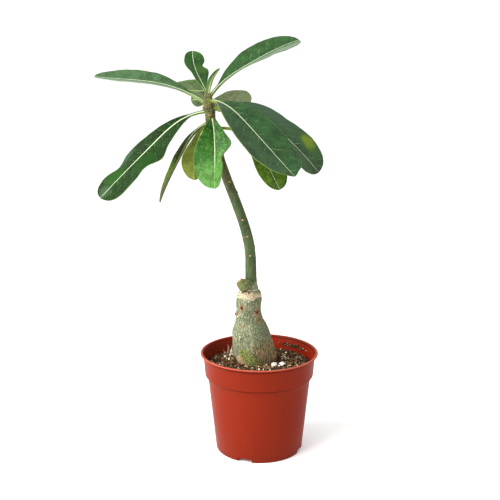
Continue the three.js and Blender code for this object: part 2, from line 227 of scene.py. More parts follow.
class Finish:  # one material and its nodes
    def __init__(self, name, **constants):
        self.material = bpy.data.materials.new(name)
        self.material.use_nodes = True
        self.tree = self.material.node_tree
        self.shader = self.tree.nodes["Principled BSDF"]
        for key, value in constants.items():
            self.shader.inputs[key.replace("_", " ")].default_value = value

    def add(self, kind, settings=None, values=None, output=0):
        node = self.tree.nodes.new("ShaderNode" + kind)
        for key, value in (settings or {}).items():
            if key == "stops":
                ramp = node.color_ramp.elements
                for n, (place, colour) in enumerate(value):
                    stop = ramp[n] if n < 2 else ramp.new(place)
                    stop.position = place
                    stop.color = colour
            else:
                setattr(node, key, value)
        for key, value in (values or {}).items():
            self.feed(value, node.inputs[key])
        return Wire(self, node.outputs[output])

    def feed(self, value, socket):
        if isinstance(value, Wire):
            self.tree.links.new(value.socket, socket)
        else:
            socket.default_value = value

    def place(self, stretch=(1, 1, 1)):  # object coordinates in mm, stretched
        here = self.add("TexCoord", output="Object")
        size = tuple(1000 * s for s in stretch)
        return self.add("Mapping", values={"Vector": here, "Scale": size})

    def grain(self, vector, size, detail=3.0, roughness=0.55, warp=0.0):
        values = {"Vector": vector, "Scale": 1 / size, "Detail": detail, "Roughness": roughness,
                  "Distortion": warp}
        return self.add("TexNoise", values=values)

    def step(self, value, low, high):
        values = {"Value": value, "From Min": low, "From Max": high}
        return self.add("MapRange", {"interpolation_type": "SMOOTHSTEP"}, values)

    def mix(self, share, first, second, blend="MIX"):
        settings = {"data_type": "RGBA", "blend_type": blend}
        return self.add("Mix", settings, {0: share, 6: first, 7: second}, 2)

    def blend(self, pattern, low, high, first, second):  # one colour gives way to the other
        return self.mix(self.step(pattern, low, high), tint(*first), tint(*second))

    def coats(self, colour, *coats):  # each coat: its share, and its colour
        for share, coat in coats:
            coat = tint(*coat) if isinstance(coat, tuple) else coat
            colour = self.mix(share, colour, coat)
        return colour

    def sum(self, operation, first, second=0.0):
        return self.add("Math", {"operation": operation}, {0: first, 1: second})

    def split(self, vector):
        node = self.add("SeparateXYZ", values={"Vector": vector}).socket.node
        return [Wire(self, output) for output in node.outputs]

    def attribute(self, name):
        return self.split(self.add("Attribute", {"attribute_name": name}, output="Vector"))

    def bump(self, height, distance, strength=1.0):
        values = {"Height": height, "Distance": distance * mm, "Strength": strength}
        self.feed(self.add("Bump", values=values), self.shader.inputs["Normal"])

    def finish(self, colour, roughness=None):
        self.feed(colour, self.shader.inputs["Base Color"])
        if roughness is not None:
            self.feed(roughness, self.shader.inputs["Roughness"])
        return self.material


# Camera, lights and floor.

stage = {
    "cameraPlace": (-0.008, -0.7024, 0.3231), "cameraTilt": 78.23,
    "lens": 60.98, "sensor": 36,
    "lights": {  # place, size, power and colour
        "keyLight": ((-0.90, -0.52, 0.72), 1.3, 36.0, (1, 0.98, 0.95)),
        "fillLight": ((0.9, -0.3, 0.5), 1.0, 1.5, (0.95, 0.97, 1)),
    },
    "aim": (0, 0, 0.16),
    "worldStrength": 1.1, "floorSize": 6.0,
}


def makeStage():
    camera = added(bpy.ops.object.camera_add, "Camera", location=stage["cameraPlace"],
                   rotation=(math.radians(stage["cameraTilt"]), 0, 0))
    camera.data.lens = stage["lens"]
    camera.data.sensor_width = stage["sensor"]
    camera.data.clip_start = 0.01
    scene.camera = camera

    for name, (place, size, power, colour) in stage["lights"].items():
        light = added(bpy.ops.object.light_add, name, type="AREA", location=place)
        light.data.shape = "DISK"
        light.data.size = size
        light.data.energy = power
        light.data.color = colour
        towards = Vector(stage["aim"]) - Vector(place)
        light.rotation_euler = towards.to_track_quat("-Z", "Y").to_euler()

    world = bpy.data.worlds.new("softWhite")
    world.use_nodes = True
    background = world.node_tree.nodes["Background"]
    background.inputs["Color"].default_value = (1, 1, 1, 1)
    background.inputs["Strength"].default_value = stage["worldStrength"]
    scene.world = world
    scene.view_settings.view_transform = "Standard"

    floor = added(bpy.ops.mesh.primitive_plane_add, "floor", size=stage["floorSize"])
    paper = Finish("floorPaper", Roughness=0.9)
    shade = paper.grain(paper.place(), 400, 2)
    white = paper.mix(shade, (0.95, 0.95, 0.95, 1), (0.97, 0.97, 0.965, 1))
    floor.data.materials.append(paper.finish(white))


makeStage()
print("camera, lights and floor placed")


# The pot.

pot = {
    "sides": 144,
    "outline": [  # radius and height in mm, from the floor's middle
        (0.8, 0.0), (22.0, 0.0), (22.6, 3.0), (33.2, 3.0), (33.8, 0.0), (37.1, 0.0), (37.7, 0.8),
        (40.9, 31.0), (44.0, 60.0), (44.3, 61.8), (44.8, 63.8), (45.4, 65.6), (45.7, 66.8),
        (46.8, 67.1), (47.0, 67.5), (47.1, 68.0), (48.5, 85.3), (50.4, 85.5), (50.9, 85.8),
        (51.0, 86.2), (50.8, 86.7), (50.3, 87.0), (49.4, 87.0), (48.7, 86.6), (48.3, 85.8),
        (46.8, 82.6), (45.7, 67.0), (42.6, 60.6), (39.6, 31.0), (36.6, 4.6), (20.8, 4.5),
        (20.4, 1.5), (0.8, 1.5),
    ],
    "holes": 8, "holeSides": 32, "holeRadius": 3.5, "holeCircle": 28.0, "drill": 20,
    "notchAngles": (-109.4, -19.4, 70.6, 160.6), "notchWidth": 12.3, "notchDepth": 12.0,
    "channel": 3.0, "footRadius": 37.7,
    "bevel": 0.22, "bevelAngle": 40, "smoothAngle": 42,
}


def cutAway(piece, cutter):
    applyModifier(piece, "BOOLEAN", object=cutter, operation="DIFFERENCE", solver="EXACT")
    bpy.data.objects.remove(cutter)


def makePot():
    outline = pot["outline"]
    piece = added(bpy.ops.mesh.primitive_circle_add, "potWall",
                  vertices=pot["sides"], radius=outline[0][0] * mm)
    editAll(piece)
    for (radius, height), (nextRadius, nextHeight) in zip(outline, outline[1:]):
        rise = (0, 0, (nextHeight - height) * mm)
        spread = nextRadius / radius
        bpy.ops.mesh.extrude_region_move(TRANSFORM_OT_translate={"value": rise})
        bpy.ops.transform.resize(value=(spread, spread, 1),
                                 center_override=(0, 0, nextHeight * mm))
    bpy.ops.mesh.select_all(action="DESELECT")
    bpy.ops.mesh.select_non_manifold()
    bpy.ops.mesh.fill_holes(sides=pot["sides"])
    bpy.ops.object.mode_set(mode="OBJECT")
    closeUp(piece)

    for k in range(pot["holes"]):
        x, y = polar(pot["holeCircle"], (k + 0.5) / pot["holes"] * fullTurn)
        cutAway(piece, added(bpy.ops.mesh.primitive_cylinder_add, "drill",
                             vertices=pot["holeSides"], radius=pot["holeRadius"] * mm,
                             depth=pot["drill"] * mm, location=(x * mm, y * mm, 0)))
    for degrees in pot["notchAngles"]:
        angle = math.radians(degrees)
        x, y = polar(pot["footRadius"], angle)
        cutter = added(bpy.ops.mesh.primitive_cube_add, "notch", size=1,
                       location=(x * mm, y * mm, 0), rotation=(0, 0, angle))
        cutter.scale = (pot["notchDepth"] * mm, pot["notchWidth"] * mm, 2 * pot["channel"] * mm)
        bpy.ops.object.transform_apply(location=True, rotation=True, scale=True)
        cutAway(piece, cutter)

    applyModifier(piece, "BEVEL", width=pot["bevel"] * mm, segments=2, limit_method="ANGLE",
                  angle_limit=math.radians(pot["bevelAngle"]))
    pick(piece)
    bpy.ops.object.shade_smooth_by_angle(angle=math.radians(pot["smoothAngle"]))
    dress(piece, potPlastic(), "pot_plastic", "pot")


def potPlastic():
    paint = Finish("potPlastic", Specular_IOR_Level=0.035)
    here = paint.place()
    x, y, z = paint.split(here)
    reach = paint.sum("SQRT", x * x + y * y)
    cloud = paint.grain(here, 30, 3)
    streak = paint.grain(paint.place((1, 1, 0.06)), 1.6, 4, 0.6)
    speck = paint.grain(here, 0.7, 2)
    scuffs = paint.step(streak, 0.60, 0.78) * 0.35
    # painted shadow: a dark line just under the band's lower ledge, where the undercut lies in
    # shade
    ledgeShadow = paint.step(z, 65.0, 66.4) * paint.step(z, 67.3, 66.9) * paint.step(reach, 43.0, 44.0)
    # a lighter line round the lip's rounded top: partly wear, partly a painted highlight
    rimWearAndGlint = paint.step(reach, 48.6, 49.6) * paint.step(z, 86.1, 86.6)
    # painted shadow: a dark line on the wall just under the lip's overhang
    underLipShadow = paint.step(reach, 47.7, 48.0) * paint.step(z, 83.4, 84.4) * paint.step(z, 85.6, 85.5)
    # painted bounce light: the inner wall is coloured brighter and redder, standing in for red
    # light bounced inside the pot
    inside = paint.step(z, 70, 74) * paint.step(reach - z * 0.075, 41.5, 41.2)
    dust = paint.step(z, 76, 84) * paint.step(reach, 47.4, 46.9) * paint.step(speck, 0.52, 0.70)
    body = paint.coats(
        paint.mix(cloud, tint(105, 28, 12), tint(112, 32, 14)),
        (scuffs, (126, 44, 28)),
        (ledgeShadow * 0.6, (60, 14, 7)),
        (rimWearAndGlint * (paint.grain(here, 4, 3) * 0.5 + 0.35), (176, 92, 74)),
        (underLipShadow * 0.75, (56, 12, 6)),
        # painted bounce light, on the right of the inner wall only
        (inside * paint.step(x, -25, 10) * 0.65, (140, 30, 9)),
        (dust * 0.5, (92, 58, 40)))
    paint.bump(speck * 0.5 + streak * 0.6, 0.06, 0.5)
    return paint.finish(body, scuffs * 0.3 + cloud * 0.1 + 0.36)


makePot()
print("pot made")


# The soil, with its crumbs, perlite and fibres.

soil = {
    "wallHeight": 75.0, "mound": 3.0, "moundInner": 18, "moundOuter": 42,
    "heaps": [(30, 18, 0.5, 160), (-32, -4, 1.2, 120), (18, 6, 3.2, 70)],  # x, y, height, spread
    "clod": 0.7, "edge": 45.4, "plantX": -3,
    "around": 160, "along": 110,
    "lowShare": 0.12,  # of the bed's rows, the part below its top
    "low": [(0.0, 2.0), (19.9, 2.0), (20.1, 5.0), (35.6, 5.0), (42.0, 61.0), (45.0, 67.4)],
    "crumbs": 7200, "crumbSeed": 11,
    "crumbSize": (0.6, 2.6), "sizeBias": 1.9,  # above 1 most are small
    "crumbShade": (0.40, 0.36), "greenShare": 0.02,
    "crumbRoom": 13.5,  # kept clear round the plant
    "wallCrumbs": 150, "wallArc": (47, 9),  # middle and spread of their arc, in degrees
    "perliteSeed": 5,
    "lumps": [  # perlite: x, y, size in mm
        (12.6, -13.4, 2.5), (19.4, -10.9, 2.4), (16.9, -14.6, 1.2), (-0.4, -21.6, 1.3),
        (-17.8, -17.2, 0.9), (-30.3, 15.7, 1.3), (20.8, 2.5, 0.8), (-9.7, -29.0, 0.7),
        (2.9, -27.2, 0.8), (27.5, -5.0, 0.7), (-26.5, 4.0, 0.9), (9.0, -22.6, 0.8),
        (33.0, -12.0, 0.6), (-34.0, -8.0, 0.7), (24.0, 22.0, 1.1), (-16.0, 27.0, 1.0),
        (5.0, 30.0, 1.4), (36.0, 12.0, 0.8), (-3.0, -33.5, 0.7), (12.0, -32.0, 0.6),
    ],
}


def soilHeight(x, y):
    far = smoothStep(math.hypot(x, y), soil["moundInner"], soil["moundOuter"])
    height = soil["wallHeight"] + soil["mound"] * (1 - far)
    for heapX, heapY, rise, spread in soil["heaps"]:
        height += rise * math.exp(-((x - heapX) ** 2 + (y - heapY) ** 2) / spread)
    clods = math.sin(0.55 * x + 1.3) * math.sin(0.62 * y)
    clods += 0.6 * math.sin(0.31 * x - 0.83 * y + 0.7)
    return height + soil["clod"] * clods


def makeSoilBed():
    low, lowShare = soil["low"], soil["lowShare"]

    def pointAt(angle, w):
        if w < lowShare:
            row = w / lowShare * (len(low) - 1)
            i = min(int(row), len(low) - 2)
            radius, height = (b + (c - b) * (row - i) for b, c in zip(low[i], low[i + 1]))
            return Vector((*polar(radius, angle), height)) * mm
        x, y = polar(soil["edge"] * (1 - (w - lowShare) / (1 - lowShare)), angle)
        rough = 0.35 * ripple(x * 0.7, y * 0.7, 0) + 0.25 * ripple(x * 1.7, y * 1.7, 3)
        return Vector((x, y, soilHeight(x, y) - 0.5 + rough)) * mm

    piece = rolledGrid("soilBed", soil["around"], soil["along"], pointAt)
    dress(piece, earthFinish(), "soil", "soil")


def earthFinish():
    earth = Finish("earth", Roughness=0.95, Specular_IOR_Level=0.15)
    here = earth.place()
    clump = earth.grain(here, 1.6, 5, 0.7)
    fleck = earth.step(earth.grain(here, 0.6, 2), 0.66, 0.74)
    ground = earth.blend(clump, 0.35, 0.68, (38, 26, 18), (92, 64, 46))
    earth.bump(clump, 0.8)
    return earth.finish(earth.coats(ground, (fleck * 0.6, (150, 110, 84))))


def crumbFinish():
    crumb = Finish("crumbs", Roughness=0.92, Specular_IOR_Level=0.2)
    shade, warm, green = crumb.attribute("crumb")
    fine = crumb.grain(crumb.place(), 0.5, 3, 0.65)
    ramp = crumb.add("ValToRGB", {"stops": [
        (0.0, tint(16, 12, 7)), (0.3, tint(52, 38, 22)), (0.58, tint(96, 70, 42)),
        (0.82, tint(146, 114, 74)), (1.0, tint(200, 178, 138))]}, {"Fac": shade})
    crumb.bump(fine, 0.25)
    return crumb.finish(crumb.coats(
        ramp,
        (warm * 0.35, (108, 56, 32)),
        (green, (70, 100, 40)),
        (crumb.step(fine, 0.4, 0.7) * 0.5, (40, 28, 20))))


def crumbTemplate(name, stretch, seed):
    piece = added(bpy.ops.mesh.primitive_ico_sphere_add, name, subdivisions=1, radius=0.55)
    for vertex in piece.data.vertices:
        spot = vertex.co * 2.1
        vertex.co *= 1 + 0.6 * ripple(spot.x, spot.y, spot.z, seed)
        vertex.co = Vector([c * s for c, s in zip(vertex.co, stretch)])
    return piece


def scatter(name, templates, places, attribute):
    # places: number of the template, point in mm, turn, size in mm and attribute values
    gathered = bmesh.new()
    layer = gathered.verts.layers.float_color.new(attribute)
    for number, point, turn, size, values in places:
        gathered.verts.ensure_lookup_table()
        before = len(gathered.verts)
        gathered.from_mesh(templates[number].data)
        gathered.verts.ensure_lookup_table()
        settle = Matrix.Translation(Vector(point) * mm) @ turn.to_matrix().to_4x4()
        for vertex in gathered.verts[before:]:
            vertex.co = settle @ (vertex.co * size * mm)
            vertex[layer] = (*values, 1)
    mesh = bpy.data.meshes.new(name)
    gathered.to_mesh(mesh)
    gathered.free()
    for old in templates:
        bpy.data.objects.remove(old)
    piece = bpy.data.objects.new(name, mesh)
    scene.collection.objects.link(piece)
    return piece


def randomTurn(draw):
    turn = Matrix.Rotation(draw.uniform(0, fullTurn), 3, "Z")
    lean = draw.uniform(-math.pi, math.pi)
    axis = Vector((draw.uniform(-1, 1), 1, 0)).normalized()
    return (Matrix.Rotation(lean, 3, axis) @ turn).to_quaternion()


def fromPlant(x, y):
    return math.hypot(x - soil["plantX"], y)


def makeCrumbs():
    draw = random.Random(soil["crumbSeed"])
    templates = [
        crumbTemplate("roundCrumb", (1, 0.9, 0.8), 1),
        crumbTemplate("flatChip", (1.5, 0.9, 0.4), 2),
        crumbTemplate("splinter", (2.4, 0.45, 0.4), 3),
        crumbTemplate("clod", (1.1, 1, 0.9), 4),
    ]
    places = []
    smallest, largest = soil["crumbSize"]
    while len(places) < soil["crumbs"]:
        radius = (soil["edge"] - 0.8) * math.sqrt(draw.random())
        x, y = polar(radius, draw.uniform(0, fullTurn))
        if fromPlant(x, y) < soil["crumbRoom"]:
            continue
        size = smallest + (largest - smallest) * draw.random() ** soil["sizeBias"]
        kind = draw.choices((0, 1, 2, 3), (4, 3, 2, 2))[0]
        lift = draw.uniform(-0.35, 0.35) + 0.1 * size
        shade = clamp(draw.gauss(*soil["crumbShade"]))
        values = (shade, draw.random() ** 3, 1.0 if draw.random() < soil["greenShare"] else 0.0)
        places.append((kind, (x, y, soilHeight(x, y) + lift), randomTurn(draw), size, values))
    for k in range(soil["wallCrumbs"]):  # soil that clings to the wall
        inArc = k % 3 > 0
        angle = math.radians(draw.gauss(*soil["wallArc"]) if inArc else draw.uniform(-20, 200))
        high = 5.6 + draw.gauss(0, 0.6) if inArc else draw.uniform(-0.5, 4.5)
        point = (*polar(soil["edge"] + (0.9 if inArc else 0.2), angle), soil["wallHeight"] + high)
        size = draw.uniform(0.7, 1.9) if inArc else draw.uniform(0.4, 1.1)
        values = (clamp(draw.gauss(0.48, 0.26)), draw.random() ** 3, 0.0)
        places.append((draw.choice((0, 1, 3)), point, randomTurn(draw), size, values))
    dress(scatter("soilCrumbs", templates, places, "crumb"), crumbFinish(), "soil")


def makePerlite():
    draw = random.Random(soil["perliteSeed"])
    lumps = []
    for n, (x, y, size) in enumerate(soil["lumps"]):
        lump = added(bpy.ops.mesh.primitive_ico_sphere_add, "lump", subdivisions=4, radius=1)
        turn = randomTurn(draw)
        squash = (draw.uniform(0.8, 1.15), draw.uniform(0.8, 1.1), draw.uniform(0.62, 0.85))
        foot = Vector((x, y, soilHeight(x, y) + 0.5 * size)) * mm
        for vertex in lump.data.vertices:
            p = vertex.co.copy()
            coarse = 0.42 * ripple(p.x * 1.5, p.y * 1.5, p.z * 1.5, n)
            knobs = 0.26 * ripple(p.x * 3.6, p.y * 3.6, p.z * 3.6, n + 7)
            pit = 0.16 * bell(1 - p.dot(Vector((0.2, -0.7, 0.68))), 0.05)
            p = p * (1 + coarse + knobs - pit)
            p = turn @ Vector([c * s for c, s in zip(p, squash)])
            vertex.co = p * size * mm + foot
        lumps.append(lump)
    chalk = Finish("perliteChalk", Roughness=0.9, Specular_IOR_Level=0.2)
    pores = chalk.grain(chalk.place(), 0.45, 4, 0.7)
    chalk.bump(pores, 0.3)
    white = chalk.blend(pores, 0.36, 0.6, (186, 176, 150), (250, 249, 240))
    dress(joined("perlite", lumps), chalk.finish(white), "soil")


fibres = {
    "seed": 21,
    "whiteRoots": [  # start x, y, height above soil, heading, length
        (-24.5, 16.5, 0.4, 75, 9.0), (-25.5, 15.5, 0.6, 110, 8.0), (-24.0, 9.0, 9.5, -100, 4.0),
        (-25.5, 10.0, 7.0, -60, 5.0), (-26.5, 18.5, 0.8, 30, 5.0), (18.0, 3.5, 0.3, -30, 8.0),
        (21.5, 1.0, 0.3, -50, 5.0), (-40.0, 12.0, 0.3, 70, 7.0),
    ],
    "standing": [  # x, y, height and lean of roots that stand up
        (-30.5, 23.5, 6.5, -1.6), (-28.5, 26.0, 8.0, 1.2), (-27.0, 28.5, 9.0, -0.8),
        (-25.5, 26.5, 7.5, 1.6), (-24.5, 29.0, 8.5, 0.4), (-32.0, 20.0, 4.5, 1.0),
    ],
    "rootThickness": 0.22, "forkThickness": 0.18, "standingThickness": 0.15,
    "strands": 80, "strandThickness": (0.1, 0.2),
    "strandReach": 42, "strandRoom": 18,
}


def addStrand(points, thickness):
    curve = bpy.data.curves.new("strand", "CURVE")
    curve.dimensions = "3D"
    curve.bevel_depth = thickness * mm
    curve.bevel_resolution = 1
    curve.use_fill_caps = True
    spline = curve.splines.new("NURBS")
    spline.points.add(len(points) - 1)
    spline.use_endpoint_u = True
    for k, (spot, place) in enumerate(zip(spline.points, points)):
        spot.co = (*(Vector(place) * mm), 1)
        spot.radius = 1 - 0.75 * k / (len(points) - 1)
    piece = bpy.data.objects.new("strand", curve)
    scene.collection.objects.link(piece)
    return piece


def strandPoints(draw, x, y, lift, heading, length, rise):
    points = []
    angle = math.radians(heading)
    steps = 7
    for k in range(steps):
        share = k / (steps - 1)
        arch = rise * math.sin(math.pi * min(share * 1.1, 1))
        points.append((x, y, soilHeight(x, y) + lift * (1 - share) + arch))
        angle += draw.uniform(-0.5, 0.5)
        x += math.cos(angle) * length / steps
        y += math.sin(angle) * length / steps
    return points


def standingPoints(draw, x, y, height, lean):
    foot = soilHeight(x, y) - 0.5
    return [(x + lean * share * share + draw.uniform(-0.4, 0.4), y + draw.uniform(-0.4, 0.4),
             foot + height * share) for share in (0, 0.2, 0.4, 0.6, 0.8, 1)]


def joinStrands(name, strands, pale, deep):
    pick(*strands)
    bpy.ops.object.convert(target="MESH")
    root = Finish(name[:-1], Roughness=0.8, Specular_IOR_Level=0.25)
    grain = root.grain(root.place(), 0.8, 4, 0.7)
    root.bump(grain, 0.1)
    dress(joined(name, strands), root.finish(root.mix(grain, tint(*pale), tint(*deep))), "soil")


def makeFibres():
    draw = random.Random(fibres["seed"])
    white = []
    for x, y, lift, heading, length in fibres["whiteRoots"]:
        points = strandPoints(draw, x, y, lift, heading, length, 1.5)
        white.append(addStrand(points, fibres["rootThickness"]))
        forkX, forkY, forkZ = points[3]
        side = strandPoints(draw, forkX, forkY, forkZ - soilHeight(forkX, forkY),
                            heading + draw.choice((-60, 55)), length * 0.5, 0.6)
        white.append(addStrand(side, fibres["forkThickness"]))
    for x, y, height, lean in fibres["standing"]:
        points = standingPoints(draw, x, y, height, lean)
        white.append(addStrand(points, fibres["standingThickness"]))
    joinStrands("whiteRoots", white, (250, 244, 226), (206, 190, 160))
    brown = []
    while len(brown) < fibres["strands"]:
        radius = fibres["strandReach"] * math.sqrt(draw.random())
        x, y = polar(radius, draw.uniform(0, fullTurn))
        if fromPlant(x, y) < fibres["strandRoom"]:
            continue
        points = strandPoints(draw, x, y, draw.uniform(0.2, 1.0), draw.uniform(0, 360),
                              draw.uniform(3, 8), draw.uniform(0.3, 1.8))
        if all(math.hypot(p[0], p[1]) < fibres["strandReach"] + 1.5 for p in points):
            brown.append(addStrand(points, draw.uniform(*fibres["strandThickness"])))
    joinStrands("brownFibres", brown, (176, 150, 108), (104, 76, 50))


makeSoilBed()
makeCrumbs()
makePerlite()
makeFibres()
print("soil made")


# The caudex.

caudex = {
    "rows": [  # height, x of the middle, half width, in mm
        (48, -2.8, 4.0), (56, -2.7, 6.5), (65, -2.6, 9.6), (73, -2.6, 13.2), (79, -2.9, 16.0),
        (85, -3.6, 17.8), (92, -4.8, 17.9), (98, -5.9, 17.2), (103, -6.7, 16.5), (107, -7.1, 15.5),
        (111, -7.4, 13.8), (115, -8.1, 12.2), (119.5, -8.8, 11.3), (124, -9.0, 10.6),
        (128.5, -9.2, 10.8), (133, -8.9, 11.1), (136.5, -8.9, 10.8), (139, -8.7, 10.0),
        (141.2, -8.0, 8.7), (142.3, -7.8, 7.4),
    ],
    "around": 200, "along": 220, "cap": 0.03,
    "furrows": [  # height, scale across and along, seed
        (0.34, 0.34, 0.07, 1), (0.20, 0.9, 0.16, 2), (0.45, 0.12, 0.10, 4), (0.10, 2.2, 0.7, 5),
    ],
    "corkLow": 136.4, "corkDip": (-74, 1.9, 3.2),  # the dip's direction, depth and width
    "lobes": [(3, 0.025, 0.05), (5, 0.015, -0.11)],  # count, depth, twist per mm of height
    # ridges at the foot: turn, width, how far out, and the heights between which each fades
    "ridges": [(0.12, 0.13, 1.3, 92, 82), (-2.2, 0.16, 1.1, 90, 81), (1.9, 0.10, 0.9, 87, 79)],
    # scars: height, direction, radius, how far it stands out, how deep its pit is
    "scars": [
        (128.4, -121, 2.6, 0.8, 1.5), (121.4, -168, 1.7, 1.9, 0.5), (124.2, -48, 3.0, 0.6, 1.0),
        (120.6, -45, 1.8, 0.4, 0.5), (117.6, -42, 2.4, 0.6, 0.9), (112.3, -121, 1.1, 0.3, 0.4),
        (122.9, -146, 0.7, 0.1, 0.9), (141.4, -96, 1.0, 0.4, 0.5), (96.1, -38, 1.5, 0.2, 0.9),
        (110.0, 60, 1.7, 0.7, 0.6), (126.0, 95, 1.6, 0.6, 0.6), (131.0, 20, 1.3, 0.5, 0.5),
    ],
    # small pale spots: height, direction, radius
    "whiteDots": [(103.8, -127, 0.8), (134.6, -91, 0.6), (119.8, -151, 0.9), (113.0, -95, 0.5)],
    "moss": [  # direction, height, spread and amount
        (-110, 84.0, 7.0, 1.05), (-130, 90.0, 4.0, 0.8), (-108, 90.0, 4.2, 0.5),
        (-92, 81.5, 4.8, 0.7), (-62, 82.0, 2.8, 0.5),
    ],
    "tanSpot": (-137, 82.0, 6.4),  # direction, height and spread
}


def caudexAt(z):
    rows = caudex["rows"]
    i = 0
    while i < len(rows) - 2 and rows[i + 1][0] < z:
        i += 1
    t = clamp((z - rows[i][0]) / (rows[i + 1][0] - rows[i][0]))
    before, after = rows[max(i - 1, 0)], rows[min(i + 2, len(rows) - 1)]
    ends = []
    for k in (1, 2):
        b, c = rows[i][k], rows[i + 1][k]
        span = rows[i + 1][0] - rows[i][0]
        slopeB = (c - before[k]) / (rows[i + 1][0] - before[0]) * span
        slopeC = (after[k] - b) / (after[0] - rows[i][0]) * span
        t2, t3 = t * t, t * t * t
        ends.append(b * (2 * t3 - 3 * t2 + 1) + slopeB * (t3 - 2 * t2 + t)
                    + c * (3 * t2 - 2 * t3) + slopeC * (t3 - t2))
    return ends


def corkBand(angle, z):  # share of pale cork, round the top of the caudex
    dipAt, dip, width = caudex["corkDip"]
    low = caudex["corkLow"] + 0.5 * math.cos(angle + 0.8)
    low += 0.9 * ripple(*polar(1.6, angle), z * 0.15, 3)
    low -= dip * bell(turnFrom(angle, dipAt) * 10.8, width)
    right = smoothStep(math.cos(angle), -0.2, 0.6)
    fade = 0.6 * smoothStep(z, 138.8, 141.4) * right + 0.25 * right
    return smoothStep(z, low - 0.5, low + 0.5) - fade


def caudexPoint(angle, w):
    bottom, top = caudex["rows"][0][0], caudex["rows"][-1][0]
    run, openness = capped(w, caudex["cap"])
    z = bottom + (top - bottom) * run
    middle, half = caudexAt(z)
    lobes = 1
    for count, depth, twist in caudex["lobes"]:
        lobes += depth * math.sin(count * angle + twist * z)
    radius = half * lobes
    cx, cy = polar(half, angle)
    cork = corkBand(angle, z)
    furrows = relief(caudex["furrows"], cx, cy, z)
    radius += furrows * smoothStep(z, 60, 76) * (1 - 0.5 * cork)
    radius += 0.35 * cork * smoothStep(z, 141.5, 139.5)
    radius += 0.3 * cork * ripple(cx * 1.1, cy * 1.1, z * 1.4, 6)
    for turn, width, out, high, low in caudex["ridges"]:
        radius += out * sideBell(angle, turn, width) * smoothStep(z, high, low)
    for height, degrees, size, out, pit in caudex["scars"]:
        far = roundDistance(angle, z, degrees, height, half)
        if far < 3 * size:
            radius += out * bell(far, size) - pit * bell(far, 0.42 * size)
            radius += 0.25 * ripple(cx * 2.0, cy * 2.0, z * 2.0, 8) * bell(far, size)
    for height, degrees, size in caudex["whiteDots"]:
        radius += 0.3 * bell(roundDistance(angle, z, degrees, height, half), size)
    x, y = polar(radius * openness, angle)
    return Vector((middle + x, y, z)) * mm


def caudexMarks(co):
    z = co.z / mm
    middle, half = caudexAt(z)
    angle = math.atan2(co.y / mm, co.x / mm - middle)
    cx, cy = polar(half, angle)

    def near(degrees, height, size, ragged=1):
        return bell(ragged * roundDistance(angle, z, degrees, height, half), size)

    ragged = 1 + 0.5 * ripple(cx * 0.9, cy * 0.9, z * 0.9, 15)
    scar = max(near(d, h, 1.1 * size, ragged) for h, d, size, out, pit in caudex["scars"])
    pits = max(clamp(pit / 1.4) * near(d, h, 0.6 * size)
               for h, d, size, out, pit in caudex["scars"])
    dots = max(near(d, h, size) for h, d, size in caudex["whiteDots"])
    moss = sum(amount * near(d, h, size) for d, h, size, amount in caudex["moss"])
    moss += 0.4 * ripple(cx * 0.5, cy * 0.5, z * 0.25, 9)
    tanBase = near(*caudex["tanSpot"]) + 0.5 * smoothStep(z, 81, 77)
    cork = max(corkBand(angle, z), 0.85 * tanBase)
    brown = smoothStep(z, 107, 92) * smoothStep(math.cos(angle + math.radians(42)), 0.35, 0.9)
    return ((cork, clamp(1.5 * scar - 0.25), clamp(moss)),
            (brown, pits, clamp(1.4 * dots - 0.2)))


